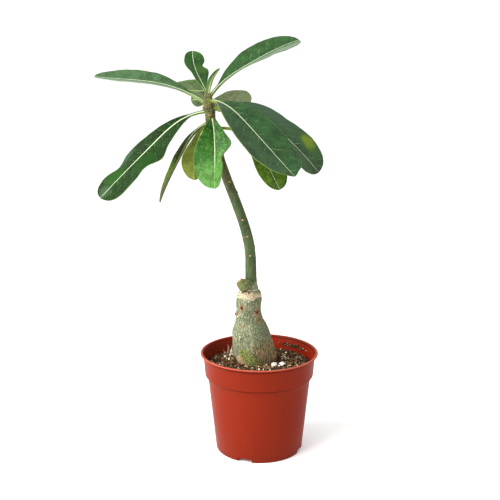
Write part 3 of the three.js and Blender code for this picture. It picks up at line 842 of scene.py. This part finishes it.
def barkFinish():
    bark = Finish("greyBark", Roughness=0.88, Specular_IOR_Level=0.15)
    cork, scar, moss = bark.attribute("marks")
    brown, pits, dots = bark.attribute("shades")
    here = bark.place()
    x, z = bark.split(here)[::2]
    tall = bark.place((1, 1, 0.2))
    streak = bark.grain(tall, 0.8, 5, 0.7, 0.5)
    net = bark.grain(bark.place((1, 1, 0.45)), 0.6, 4, 0.72)
    cloud = bark.grain(here, 8, 2)
    warm = bark.grain(tall, 3.0, 3)
    pale = bark.step(streak, 0.51, 0.63)
    cleft = bark.step(streak, 0.46, 0.37)
    rough = net - 0.5
    low = bark.blend(streak, 0.40, 0.62, (50, 36, 20), (150, 124, 84))
    # painted shade: the caudex's right side between these heights is darkened towards dark green
    rightSideShade = bark.step(x, -10, -1) * bark.step(z, 142, 132) * bark.step(z, 94, 106)
    ringCream = bark.blend(net, 0.36, 0.60, (122, 102, 76), (190, 180, 154))
    baseTan = bark.blend(net, 0.40, 0.64, (136, 108, 72), (212, 190, 146))
    cream = bark.mix(bark.step(z, 92, 110), baseTan, ringCream)
    edge = cork + (bark.grain(here, 1.2, 3) - 0.5) * 0.7
    chips = bark.step(bark.grain(here, 1.4, 4, 0.7), 0.53, 0.61) * bark.step(z, 110, 114)
    patch = moss + (bark.grain(tall, 1.2, 5, 0.75) - 0.5) * 1.3
    green = bark.coats(bark.blend(net, 0.42, 0.58, (34, 48, 14), (140, 150, 78)),
                       (cleft * 0.7, (34, 44, 16)))
    crust = bark.blend(net, 0.44, 0.58, (50, 27, 17), (158, 124, 86))
    colour = bark.coats(
        bark.blend(cloud, 0.3, 0.7, (80, 88, 64), (98, 104, 78)),
        (pale * 0.9, (158, 156, 128)),
        (cleft * 0.85, (34, 46, 28)),
        (bark.step(net, 0.53, 0.61) * 0.7, (40, 52, 32)),
        (bark.step(net, 0.46, 0.38) * 0.6, (186, 184, 160)),
        (bark.step(warm, 0.52, 0.72) * 0.4, (108, 94, 64)),
        (brown * (pale * 0.25 + 0.7), low),
        (rightSideShade * 0.34, (66, 76, 50)),
        (bark.step(edge, 0.34, 0.6), cream),
        (chips * bark.step(edge, 0.2, 0.5) * 0.8, (120, 88, 60)),
        (bark.step(patch, 0.40, 0.85) * 0.9, green),
        (bark.step(scar + rough * 0.9, 0.22, 0.5), crust),
        (bark.step(pits * 0.8 + rough * 1.8, 0.42, 0.6), (34, 16, 10)),
        (bark.step(dots, 0.4, 0.8), (214, 210, 192)))
    bark.bump(streak * 0.8 + net * 0.4 + patch * 0.15, 0.75)
    return bark.finish(colour)


def makeCaudex():
    piece = rolledGrid("caudexBark", caudex["around"], caudex["along"], caudexPoint)
    paintAttributes(piece, caudexMarks, "marks", "shades")
    dress(piece, barkFinish(), "grey_bark", "caudex")


makeCaudex()
print("caudex made")


# The stem, with its pruned stub.

stem = {
    "points": [  # x, height and radius in mm, evenly spaced
        (-7.7, 142.6, 7.2), (-7.2, 147.5, 5.6), (-7.2, 153.5, 4.9), (-7.3, 162, 4.8),
        (-7.6, 172, 4.6), (-9.2, 184, 4.5), (-12.2, 196, 4.3), (-16.2, 208, 4.2),
        (-20.6, 220, 4.1), (-25.2, 232, 4.0), (-29.6, 244, 3.9), (-33.6, 256, 3.9),
        (-37.0, 269, 3.9), (-39.6, 282, 4.1), (-41.0, 294, 4.2), (-42.2, 302, 3.7),
        (-43.0, 308.5, 2.2),
    ],
    "around": 72, "along": 520, "cap": 0.006,
    "scars": [  # height and direction
        (172.8, -92), (179.6, -23), (188.0, -150), (189.1, -90), (197, 60), (203.3, -85),
        (214, 150), (225, -14), (235.4, -70), (250, 100), (257, 20), (262, -45),
    ],
    "scarRadius": 1.25, "scarOut": 0.55,
    # leaf bases wind up the crown: lowest height and direction, steps of both, count, radius, out
    "crownFoot": 266.0, "crownTurn": 30.0, "baseRise": 3.4, "baseTurn": 137.5, "bases": 11,
    "baseRadius": 1.9, "baseOut": 1.4,
    "swell": [(0.12, 0.3, 0.06, 11), (0.05, 1, 0.5, 12)],  # as the caudex's furrows
    "crack": (-76, 150.8),  # direction and height
}
stemColumns = [columnOf(stem["points"], k) for k in range(3)]


def stemAt(t):
    x, z, radius = (smoothThrough(column, t) for column in stemColumns)
    return Vector((x, 0, z)), radius


def shareAtHeight(z):  # found by halving
    low, high = 0.0, 1.0
    for k in range(30):
        middle = (low + high) / 2
        if stemAt(middle)[0].z < z:
            low = middle
        else:
            high = middle
    return low


# what stands out of the stem: height, direction, radius and how far
stemSpots = [(h, d, stem["scarRadius"], stem["scarOut"]) for h, d in stem["scars"]]
stemSpots += [(stem["crownFoot"] + stem["baseRise"] * k, stem["crownTurn"] + stem["baseTurn"] * k,
               stem["baseRadius"], stem["baseOut"]) for k in range(stem["bases"])]


def stemPoint(angle, w):
    t, openness = capped(w, stem["cap"])
    centre, radius = stemAt(t)
    ahead, behind = stemAt(min(t + 0.01, 1))[0], stemAt(max(t - 0.01, 0))[0]
    along = (ahead - behind).normalized() if t > 0.02 else Vector((0, 0, 1))
    side = Vector((0, 1, 0))
    across = side.cross(along)
    z = centre.z
    cx, cy = polar(radius, angle)
    crown = smoothStep(z, stem["crownFoot"] - 8, stem["crownFoot"] + 12)
    collar = smoothStep(z, 152, 144)
    radius += relief(stem["swell"], cx, cy, z) * (1 + 3 * crown)
    radius += 0.35 * collar * ripple(cx * 0.6, cy * 0.6, z * 0.5, 13)
    radius += 0.28 * crown * ripple(cx * 0.9, cy * 0.9, z * 0.5, 14)
    for height, degrees, size, out in stemSpots:
        if abs(height - z) < 5:
            far = roundDistance(angle, z, degrees, height, radius)
            below = roundDistance(angle, z, degrees, height - 1.6, radius)
            radius += out * bell(far, size) + 0.3 * out * bell(below, 1.8 * size)
            notch = roundDistance(angle, z, degrees, height + 1.1, radius)
            radius -= 0.22 * bell(notch, 0.7 * size)
    out, sideways = polar(radius * openness, angle)
    return (centre + across * out + side * sideways) * mm


def stemMarks(co):
    z = co.z / mm
    centre, radius = stemAt(shareAtHeight(z))
    angle = math.atan2(co.y / mm, co.x / mm - centre.x)
    scar = dark = 0.0
    for height, degrees, size, out in stemSpots:
        if abs(height - z) < 4:
            across, up = turnFrom(angle, degrees) * radius, z - height
            bowl = math.hypot(across * 0.8, up * 1.35 - 0.10 * across * across)
            scar = max(scar, bell(bowl, 0.85 * size))
            dark = max(dark, bell(math.hypot(across * 0.8, (up - 1.15) * 2.2), size))
    crown = smoothStep(z, stem["crownFoot"] - 12, stem["crownFoot"] + 10)
    collar = smoothStep(z, 151.5, 148.0)
    crack = bell(roundDistance(angle, z, *stem["crack"], radius), 1.1)
    ring = 0.6 * smoothStep(z, 145.0, 143.0)
    return (clamp(1.5 * scar - 0.35), dark, crown), (collar, crack, ring)


def stemFinish():
    skin = Finish("stemSkin", Specular_IOR_Level=0.2)
    scar, dark, crown = skin.attribute("marks")
    collar, crack, ring = skin.attribute("shades")
    here = skin.place()
    z = skin.split(here)[2]
    tall = skin.place((1, 1, 0.25))
    cloud = skin.grain(skin.place((1, 1, 0.5)), 6, 3)
    streak = skin.grain(tall, 1.1, 4, 0.6)
    fleck = skin.grain(here, 0.75, 2)
    brown = skin.step(skin.grain(tall, 4.2, 3), 0.52, 0.72)
    tanned = skin.step(z, 218, 244) * skin.step(streak, 0.34, 0.56)
    olive = skin.coats(skin.blend(streak, 0.36, 0.64, (24, 26, 10), (66, 72, 26)),
                       (skin.step(fleck, 0.54, 0.64) * 0.8, (136, 132, 56)))
    grey = skin.blend(streak, 0.38, 0.64, (64, 72, 46), (130, 132, 98))
    cream = skin.blend(fleck, 0.4, 0.62, (128, 108, 82), (190, 186, 166))
    tan = skin.coats(skin.blend(fleck, 0.35, 0.65, (120, 78, 48), (182, 138, 96)),
                     (crown * 0.85, (84, 72, 34)))
    colour = skin.coats(
        skin.blend(cloud, 0.3, 0.7, (40, 56, 26), (60, 74, 40)),
        (skin.step(streak, 0.5, 0.72) * 0.5, (84, 98, 62)),
        (skin.step(streak, 0.46, 0.32) * 0.4, (30, 44, 20)),
        (brown * 0.45, (72, 56, 34)),
        (tanned * 0.5, (98, 82, 54)),
        (skin.step(fleck, 0.66, 0.74) * 0.6, (116, 122, 84)),
        (crown * 0.85, olive),
        (collar * 0.9, grey),
        (skin.step(ring + (fleck - 0.5) * 0.5, 0.4, 0.7), cream),
        (skin.step(scar, 0.3, 0.6), tan),
        (skin.step(dark - scar, 0.45, 0.8) * 0.75, (40, 44, 22)),
        (skin.step(crack, 0.5, 0.8), (26, 30, 18)))
    skin.bump(streak * 0.6 + fleck * 0.3, 0.25, 0.8)
    return skin.finish(colour, cloud * 0.15 + 0.5)


stub = {
    "root": (-11.6, -4.8, 143.5), "rootRadius": 6.4,
    "end": (-16.6, -3.8, 151.7), "endRadius": 3.9, "taper": 1.2,
    "around": 56, "along": 70,
    "body": 0.82,  # of its rows, the rest make the cut face
    "foot": 0.04,  # and the part that closes its foot
}


def stubFrame():
    root, end = Vector(stub["root"]), Vector(stub["end"])
    along = (end - root).normalized()
    across = Vector((0, 1, 0)).cross(along).normalized()
    return root, end, along, across, along.cross(across)


def stubPoint(angle, w):
    root, end, along, across, side = stubFrame()
    body = stub["body"]
    t = clamp(w / body)
    radius = stub["rootRadius"] + (stub["endRadius"] - stub["rootRadius"]) * t ** stub["taper"]
    centre = root.lerp(end, t)
    cx, cy = polar(1, angle)
    radius += 0.28 * ripple(cx * 1.5, cy * 1.5, t * 2.2, 31) + 0.3 * bell(t - 0.96, 0.07)
    radius += 2.8 * sideBell(angle, 0.35, 0.42) * bell(t - 0.48, 0.26)
    radius -= 2.4 * sideBell(angle, 0.1, 0.6) * smoothStep(t, 0.74, 0.98)
    radius -= 1.1 * sideBell(angle, -math.pi, 0.4) * smoothStep(t, 0.75, 0.3)
    if w > body:
        inward = (w - body) / (1 - body)
        dish = 0.7 * smoothStep(inward, 0, 0.45) + 0.25 * ripple(cx * 2, cy * 2, inward * 3, 32)
        radius *= 1 - inward
        centre = end - along * dish
    radius *= min(w / stub["foot"], 1)
    slant = 0.35 * cx * smoothStep(t, 0.6, 1)
    return (centre + along * slant + across * (radius * cx) + side * (radius * cy)) * mm


def stubMarks(co):
    root, end, along = stubFrame()[:3]
    offset = co / mm - root
    run = offset.dot(along)
    cut = smoothStep(run / (end - root).length, 0.86, 0.97)
    face = cut * smoothStep((offset - along * run).length, 3.6, 2.6)
    return ((cut, face, smoothStep(co.z / mm, 144.0, 142.4)),)


def stubFinish():
    skin = Finish("stubSkin", Roughness=0.7, Specular_IOR_Level=0.3)
    cut, face, foot = skin.attribute("marks")
    here = skin.place()
    blotch = skin.grain(here, 2.0, 3)
    fine = skin.grain(here, 0.6, 3)
    ragged = (fine - 0.5) * 0.6
    skin.bump(fine * 0.6 + blotch * 0.6, 0.4)
    return skin.finish(skin.coats(
        skin.blend(blotch, 0.32, 0.68, (44, 58, 24), (86, 94, 44)),
        (skin.step(fine, 0.54, 0.68) * 0.7, (118, 124, 84)),
        (skin.step(blotch, 0.52, 0.64) * 0.75, (92, 66, 36)),
        (skin.step(cut + ragged, 0.45, 0.6),
         skin.blend(fine, 0.4, 0.64, (96, 62, 36), (176, 146, 104))),
        (face * 0.55, (120, 96, 62)),
        (skin.step(foot + ragged, 0.5, 0.8),
         skin.blend(fine, 0.4, 0.62, (128, 108, 82), (190, 186, 166)))))


def makeStem():
    piece = rolledGrid("stemBark", stem["around"], stem["along"], stemPoint)
    paintAttributes(piece, stemMarks, "marks", "shades")
    dress(piece, stemFinish(), "green_stem", "stem")
    cut = rolledGrid("prunedStub", stub["around"], stub["along"], stubPoint)
    paintAttributes(cut, stubMarks, "marks")
    dress(cut, stubFinish(), "green_stem")


makeStem()
print("stem made")


# The leaves. Height is where the stalk leaves the stem. Course gives the midrib's direction, its
# rise and the blade's roll about it, in degrees, at its start, thirds and tip. Fold lifts the
# halves. Broad is where it is widest, wedge how slim it stays before and tip how blunt it ends.
# Pinches: side, place, depth and span of a notch. Colour and sheen patches: place along and across,
# length, width and colour; the grey-green ones are painted sheen, the rest the leaf's own colour.
leaves = {
    "leaf_upper_right": {
        "length": 104, "width": 36, "height": 302, "broad": 0.64, "wedge": 1.5, "tip": 2.8,
        "course": [(50, 50, 6), (33, 29, 8), (28, 25, 15), (23, 17, 21)],
        # its patch is painted sheen, a grey-green reflection of the soft light on the lower half
        "fold": (25, 10), "look": "fresh", "colourAndSheenPatches": [(0.68, -0.85, 0.62, 0.8, (98, 118, 96))],
    },
    "leaf_left_long": {
        "length": 105, "width": 23, "height": 298, "broad": 0.62, "wedge": 1.3,
        "course": [(160, 34, -18), (164, 16, -22), (167, 4, -26), (168, 6, -25)],
        # its patch is painted sheen, a pale grey reflection along the lower half
        "fold": (16, 18), "look": "grey", "colourAndSheenPatches": [(0.66, 0.9, 0.6, 0.85, (108, 126, 104))],
    },
    "leaf_back_left": {
        "length": 68, "width": 20, "height": 303, "broad": 0.60, "wedge": 1.2, "tip": 2.8,
        "course": [(92, 38, 55), (105, 0, 68), (128, 3, 56), (156, 25, 28)],
        "fold": (10, 4), "look": "shade",
    },
    "leaf_back_small": {
        "length": 37, "width": 14, "height": 300.8, "broad": 0.62, "wedge": 1.3, "tip": 2.6,
        "course": [(118, 25, 15), (118, 0, 43), (114, -8, 66), (114, 0, 84)],
        "fold": (10, 6), "look": "shade",
    },
    "leaf_back_right": {
        "length": 73, "width": 29, "height": 300, "broad": 0.66, "wedge": 1.1,
        "course": [(78, 10, -36), (68, -6, -44), (56, -4, -42), (50, -3, -40)],
        "fold": (12, 8), "look": "olive",
    },
    "leaf_front_right": {
        "length": 111, "width": 46, "height": 302, "broad": 0.69, "wedge": 0.85,
        "left": 0.88, "right": 1.12,
        "course": [(-50, 4, 12), (-44, -32, 13), (-38, -40, 14), (-45, -35, 8)],
        "fold": (15, 10), "look": "dark",
        "pinches": [(1, 0.985, 0.35, 0.022), (-1, 0.985, 0.25, 0.022)],
    },
    "leaf_right": {
        "length": 112, "width": 42, "height": 293, "broad": 0.66, "wedge": 1.3, "tip": 2.8,
        "left": 1.22,
        "course": [(-12, 35, 0), (-13, -27, 13), (-7, -43, 20), (-5, -50, 34)],
        "fold": (14, 4), "pinches": [(1, 0.54, 0.16, 0.10)], "look": "dark",
        "colourAndSheenPatches": [(0.80, 0.62, 0.12, 0.42, (50, 78, 22)), (0.79, 0.66, 0.075, 0.32, (92, 112, 8)),
                    # this third patch is painted sheen on the far half; the two above are the
                    # leaf's own yellow
                    (0.42, 0.6, 0.26, 0.5, (50, 76, 52))],
    },
    "leaf_right_low": {
        "length": 86, "width": 29, "height": 279, "broad": 0.70, "wedge": 1.5,
        "left": 1.16, "right": 1.08,
        "course": [(-22, 15, -5), (-27, -26, 0), (-37, -57, 8), (-39, -55, 14)],
        "fold": (16, 3), "look": "lime",
        "colourAndSheenPatches": [(0.8, -0.6, 0.18, 0.6, (90, 122, 28)), (0.9, 0.4, 0.1, 0.5, (74, 108, 26))],
    },
    "leaf_front": {
        "length": 65, "width": 34, "height": 290, "broad": 0.64, "wedge": 0.75,
        "left": 0.76, "right": 1.02,
        "course": [(-75, -20, -5), (-75, -76, 4), (-92, -72, 24), (-94, -78, 24)],
        "fold": (22, 18), "look": "bright", "ribFades": (0.6, 0.8),
        "pinches": [(1, 0.43, -0.32, 0.09), (1, 0.63, 0.42, 0.09), (1, 0.84, 0.22, 0.12)],
        "colourAndSheenPatches": [(0.90, -0.2, 0.34, 1.4, (78, 124, 54)), (0.44, -0.6, 0.2, 0.6, (50, 100, 32)),
                    (0.62, 0.6, 0.1, 0.4, (84, 128, 56))],
    },
    "leaf_left_large": {
        "length": 117, "width": 35, "height": 293, "broad": 0.78, "wedge": 1.1, "tip": 4.2,
        "left": 1.08, "right": 0.72,
        "course": [(-158, 0, -40), (-159, -39, -46), (-162, -43, -30), (-158, -45, -26)],
        "fold": (10, 6), "look": "large",
        # the first patch is painted sheen near the tip
        "colourAndSheenPatches": [(0.96, -0.1, 0.07, 0.6, (52, 72, 50)), (0.82, -0.4, 0.1, 0.7, (30, 66, 18)),
                    (0.62, 0.5, 0.12, 0.5, (26, 58, 18)), (0.68, -0.9, 0.1, 0.3, (52, 74, 54))],
        "pinches": [(1, 0.52, -0.30, 0.07), (1, 0.66, 0.14, 0.08), (-1, 0.76, 0.34, 0.09)],
    },
    "leaf_left_narrow": {
        "length": 82, "width": 16, "height": 284, "broad": 0.64, "wedge": 1.3,
        "course": [(-148, -8, -10), (-152, -56, 1), (-158, -62, 7), (-162, -70, 13)],
        "fold": (20, 18), "look": "narrow",
        "colourAndSheenPatches": [(0.70, -0.6, 0.20, 0.6, (96, 132, 24)), (0.9, -0.4, 0.12, 0.8, (84, 96, 44))],
    },
    "leaf_back_low": {
        "length": 62, "width": 22, "height": 282, "broad": 0.68, "wedge": 1.7,
        "course": [(146, 4, -15), (128, -62, -20), (104, -68, -8), (90, -72, 8)],
        "fold": (12, 8), "look": "yellow",
    },
    "leaf_top": {
        "length": 44, "width": 18, "height": 304, "broad": 0.62, "wedge": 1.4, "tip": 3.0,
        "right": 1.25, "wave": (1.3, 2.2, 0.1), "pinches": [(-1, 0.70, 0.30, 0.06)],
        "course": [(126, 66, -4), (136, 52, -2), (124, 58, 3), (96, 74, 8)],
        "fold": (16, 4), "look": "mid",
        "colourAndSheenPatches": [(0.62, -0.5, 0.14, 0.6, (54, 86, 30)), (0.4, 0.3, 0.12, 0.6, (60, 84, 30))],
    },
    "leaf_top_bud": {
        "length": 26, "width": 5.4, "height": 304.5, "broad": 0.45, "wedge": 1.0, "tip": 1.5,
        "course": [(-60, 82, 0), (-35, 74, -20), (-18, 56, -30), (-12, 42, -30)],
        "fold": (20, 20), "look": "bud",
    },
}

leafBuild = {
    "rowLength": 1.6, "columns": 24, "thickness": 0.6, "crowding": 1.25, "spread": 1.15,
    "ribThickness": 2.2, "ribWidth": 1.15, "ribFade": 0.72,
    "stalkHalfWidth": 1.25, "stalkShare": 0.1, "tipHalfWidth": 0.5,
    "groove": 0.35, "grooveWidth": 0.9,
    "veinSpacing": 8.4, "veinSlope": 0.55, "veinCurve": 0.012, "quilt": 0.16,
    "edgeWave": 0.55,
}

# Deep and fresh greens of the upper face, dull green of the lower and how rough it is. Some have
# veins of their own strength, less gloss, or a cast and blotches over the green.
plainUnder = (92, 106, 60)
leafLooks = {
    "bud": {"deep": (24, 54, 20), "fresh": (40, 76, 30), "under": (46, 70, 30), "rough": 0.4},
    "dark": {"deep": (17, 44, 20), "fresh": (34, 68, 34), "under": (90, 104, 58), "rough": 0.36,
             "veins": 1.3},
    "mid": {"deep": (18, 48, 16), "fresh": (40, 80, 32), "under": plainUnder, "rough": 0.38},
    "large": {"deep": (8, 24, 7), "fresh": (17, 44, 15), "under": plainUnder, "rough": 0.36,
              "veins": 0.8, "gloss": 0.03},
    "fresh": {"deep": (15, 44, 14), "fresh": (32, 70, 29), "under": plainUnder, "rough": 0.38,
              "veins": 1.6},
    "olive": {"deep": (16, 48, 15), "fresh": (34, 74, 31), "under": (86, 98, 60), "rough": 0.4},
    "shade": {"deep": (16, 48, 15), "fresh": (34, 74, 31), "under": (48, 66, 31), "rough": 0.4},
    "grey": {"deep": (36, 60, 34), "fresh": (56, 84, 54), "under": (98, 112, 68), "rough": 0.34},
    "bright": {"deep": (15, 54, 11), "fresh": (40, 90, 28), "under": (88, 110, 50), "rough": 0.42,
               "cast": (20, 62, 14), "blotch": (84, 126, 56)},
    "narrow": {"deep": (22, 30, 8), "fresh": (42, 52, 16), "under": (58, 64, 26), "rough": 0.42,
               "veins": 0.2, "gloss": 0.04},
    "lime": {"deep": (28, 58, 14), "fresh": (60, 92, 24), "under": (82, 94, 20), "rough": 0.44,
             "cast": (30, 60, 14), "blotch": (96, 118, 30)},
    "yellow": {"deep": (42, 72, 12), "fresh": (84, 110, 22), "under": (82, 94, 20), "rough": 0.44},
}


def leafOutline(leaf, s):
    stalk = leafBuild["stalkShare"]
    if s < leaf["broad"]:
        up = max(0, (s - stalk) / (leaf["broad"] - stalk))
        return math.sin(up * math.pi / 2) ** leaf["wedge"]
    down = (s - leaf["broad"]) / (1 - leaf["broad"])
    return math.sqrt(max(0, 1 - down ** leaf.get("tip", 2.2)))


def halfWidth(leaf, s, v):
    half = leaf["width"] / 2 * leaf.get("left" if v > 0 else "right", 1) * leafOutline(leaf, s)
    for side, at, depth, span in leaf.get("pinches", ()):
        if side * v > 0:
            half *= 1 - depth * bell(s - at, span)
    least = leafBuild["stalkHalfWidth"] if s < leaf["broad"] else leafBuild["tipHalfWidth"]
    foot = 0.9 * bell(s * leaf["length"] - 4, 3)
    return max(half, least + foot)


def leafFrame(leaf, s):
    azimuth, rise, roll = (math.radians(smoothThrough(columnOf(leaf["course"], k), s))
                           for k in range(3))
    along = Vector((*polar(math.cos(rise), azimuth), math.sin(rise)))
    level = Vector((-math.sin(azimuth), math.cos(azimuth), 0))
    above = along.cross(level)
    left = level * math.cos(roll) + above * math.sin(roll)
    up = above * math.cos(roll) - level * math.sin(roll)
    return along, left, up


def midribOf(leaf, steps=120):  # places along the midrib, in mm
    spot = stemAt(shareAtHeight(leaf["height"]))[0]
    spots = [spot]
    before = leafFrame(leaf, 0)[0]
    for k in range(1, steps + 1):
        after = leafFrame(leaf, k / steps)[0]
        spot = spot + (before + after) * (leaf["length"] / steps / 2)
        spots.append(spot)
        before = after
    return spots


def veinPhase(run, out, side):  # whole numbers lie on the side veins
    drift = leafBuild["veinSlope"] * out + leafBuild["veinCurve"] * out * out
    return (run - drift) / leafBuild["veinSpacing"] + (0.5 if side > 0 else 0)


def makeLeaf(name, leaf, seed):
    build = leafBuild
    rows = int(leaf["length"] / build["rowLength"])
    piece = added(bpy.ops.mesh.primitive_grid_add, name + "_blade",
                  x_subdivisions=rows, y_subdivisions=build["columns"], size=1)
    spots = midribOf(leaf)
    waveHeight, waveCount, waveStart = leaf.get("wave", (0, 0, 0))
    slim = clamp(leaf["width"] / 20)
    lowered = []
    reach = []
    for vertex in piece.data.vertices:
        s = 1 - (1 - (vertex.co.x + 0.5)) ** build["crowding"]
        v = vertex.co.y * 2
        v = math.copysign(abs(v) ** build["spread"], v)
        left, up = leafFrame(leaf, s)[1:]
        here = s * (len(spots) - 1)
        i = min(int(here), len(spots) - 2)
        middle = spots[i].lerp(spots[i + 1], here - i)
        run, out = s * leaf["length"], abs(v) * halfWidth(leaf, s, v)
        fold = math.radians(leaf["fold"][0] + (leaf["fold"][1] - leaf["fold"][0]) * s)
        outline = leafOutline(leaf, s)
        blade = smoothStep(out, 0.5, 2.5)
        phase = veinPhase(run, out, v)
        wave = waveHeight * v * v * outline * math.sin(fullTurn * (waveCount * s + waveStart))
        edge = build["edgeWave"] * slim * abs(v) ** 2.5 * outline
        wave += edge * 1.8 * ripple(run * 0.075, v, 0.3, seed)
        wave += build["quilt"] * slim * blade * outline * (0.5 - math.cos(fullTurn * phase) * 0.5)
        groove = bell(out, build["grooveWidth"]) * smoothStep(s, 0.02, 0.2) * (1 - 0.7 * s)
        wave -= build["groove"] * groove
        sideways = math.copysign(out, v) * math.cos(fold)
        vertex.co = (middle + left * sideways + up * (out * math.sin(fold) + wave)) * mm
        rib = build["ribThickness"] * (1 - build["ribFade"] * s) - build["thickness"]
        rib = max(0, rib * bell(out, build["ribWidth"]))
        vein = 0.12 * slim * blade * outline * bell(phase - round(phase), 0.1)
        lowered.append(up * -(rib + vein) * mm)
        reach.append((run, math.copysign(out, v), s, abs(v)))
    mapLeaf(piece, reach)
    look = leafLooks[leaf["look"]]
    piece.data.materials.append(upperLeaf(name, leaf, look))
    piece.data.materials.append(lowerLeaf(name, look))
    applyModifier(piece, "SOLIDIFY", thickness=build["thickness"] * mm, offset=-1,
                  use_even_offset=False, material_offset=1, material_offset_rim=0)
    for n, lowering in enumerate(lowered):  # the lower face follows the upper one's vertices
        piece.data.vertices[len(lowered) + n].co += lowering
    applyModifier(piece, "SUBSURF", levels=1, render_levels=1)
    smooth(piece)
    handOver(piece, "leaf_bright" if name in brightLeaves else "leaf_green", name)


def mapLeaf(piece, reach):  # veins: mm along and out; share: along and out
    mesh = piece.data
    veins = mesh.uv_layers.new(name="veins")
    share = mesh.uv_layers.new(name="share")
    for loop in mesh.loops:
        run, out, s, v = reach[loop.vertex_index]
        veins.data[loop.index].uv = (run * 0.01, 0.5 + out * 0.01)
        share.data[loop.index].uv = (s, v)


def leafPattern(paint):
    run, out = paint.split(paint.add("UVMap", {"uv_map": "veins"}))[:2]
    s, v = paint.split(paint.add("UVMap", {"uv_map": "share"}))[:2]
    signed = (out - 0.5) * 100
    out = abs(signed)
    wobble = paint.grain(paint.place(), 7, 2) - 0.5
    drift = out * leafBuild["veinSlope"] + out * out * leafBuild["veinCurve"]
    phase = (run * 100 - drift + wobble * 5.0) / leafBuild["veinSpacing"]
    phase = phase + paint.sum("GREATER_THAN", signed, 0.0) * 0.5
    near = abs(paint.sum("FRACT", phase + 0.5) - 0.5) * leafBuild["veinSpacing"]
    midrib = 1 - paint.step(out / (0.86 - s * 0.60), 0.55, 0.85)
    lateral = (1 - paint.step(near, 0.08, 0.28)) * (1 - paint.step(v, 0.5, 0.95))
    return s, midrib, lateral, v, signed


def upperLeaf(name, leaf, look):
    paint = Finish(name + "Upper", Specular_IOR_Level=look.get("gloss", 0.12))
    s, midrib, lateral, v, signed = leafPattern(paint)
    here = paint.place()
    cloud = paint.grain(here, 11, 3)
    mottle = paint.grain(here, 2.4, 4, 0.6)
    net = paint.add("TexVoronoi", {"feature": "DISTANCE_TO_EDGE"},
                    {"Vector": here, "Scale": 1 / 1.3, "Randomness": 0.9})
    cells = (1 - paint.step(net, 0.02, 0.12)) * 0.16
    vivid = paint.step(paint.grain(here, 10, 4, 0.62, 0.5), 0.50, 0.68)
    lively = paint.mix(0.75, tint(*look["deep"]), tint(*look["fresh"]), "ADD")
    fade = paint.step(paint.grain(here, 6, 3, 0.6), 0.45, 0.64) * 0.75 + 0.05
    # painted highlight: fine pale dots over the green stand in for light glinting off the leaf
    glintSpeckle = paint.step(paint.grain(here, 0.9, 2), 0.68, 0.74) * paint.step(cloud, 0.42, 0.56)
    pale = (104, 134, 80)
    coats = [
        (cells, pale),
        (vivid * 0.6, lively),
        (lateral * fade * look.get("veins", 0.7), pale),
        (glintSpeckle * 0.45, (96, 128, 66)),
        (paint.step(v, 0.955, 0.995) * 0.55, (112, 130, 58)),
        ((1 - paint.step(s, 0.05, 0.20)) * 0.85, (92, 112, 44)),
    ]
    side = paint.sum("SIGN", signed) * v
    # some patches are the leaf's own colour, and the grey-green ones are painted sheen, standing in
    # for the soft light's reflection
    for at, sideways, long, wide, shade in leaf.get("colourAndSheenPatches", ()):
        ahead, aside = (s - at) / long, (side - sideways) / wide
        far = ahead * ahead + aside * aside + (cloud - 0.5) * 1.4 + (mottle - 0.5) * 0.8
        coats.append(((1 - paint.step(far, 0.0, 1.15)) * 0.85, shade))
    if "cast" in look:
        cast = paint.step(paint.grain(here, 4.5, 4, 0.65, 0.6), 0.45, 0.56)
        blotch = paint.step(paint.grain(here, 2.0, 4, 0.7, 0.4), 0.50, 0.62)
        coats += [(cast * 0.5, look["cast"]), (blotch * 0.6, look["blotch"])]
    ribEnding = paint.step(s, *leaf.get("ribFades", (0.97, 1.0)))
    coats.append((midrib * (1 - ribEnding * 0.7) * 0.95, (178, 190, 158)))
    green = paint.blend(cloud + (mottle - 0.5) * 0.5, 0.30, 0.72, look["deep"], look["fresh"])
    paint.bump(mottle * 0.25 - cells * 1.2 - lateral * 0.5 - midrib * 0.6, 0.22, 0.7)
    return paint.finish(paint.coats(green, *coats), mottle * 0.16 + look["rough"] - 0.05)


def lowerLeaf(name, look):
    paint = Finish(name + "Lower", Specular_IOR_Level=0.12)
    s, midrib, lateral = leafPattern(paint)[:3]
    here = paint.place()
    mottle = paint.grain(here, 1.6, 4, 0.6)
    cloud = paint.grain(here, 8, 3) + (mottle - 0.5) * 0.6
    light = [c + 22 for c in look["under"]]
    paint.bump(mottle * 0.4 + lateral * 0.4, 0.2, 0.7)
    return paint.finish(paint.coats(
        paint.blend(cloud, 0.3, 0.7, look["under"], light),
        (lateral * 0.5, (118, 132, 88)),
        ((1 - paint.step(s, 0.05, 0.22)) * 0.85, (98, 118, 48)),
        (midrib * 0.85, (136, 150, 92))), mottle * 0.1 + 0.6)


brightLeaves = ("leaf_front", "leaf_right_low", "leaf_back_low", "leaf_top_bud")
for number, (leafName, leafShape) in enumerate(leaves.items()):
    makeLeaf(leafName, leafShape, number + 41)
print("leaves made")
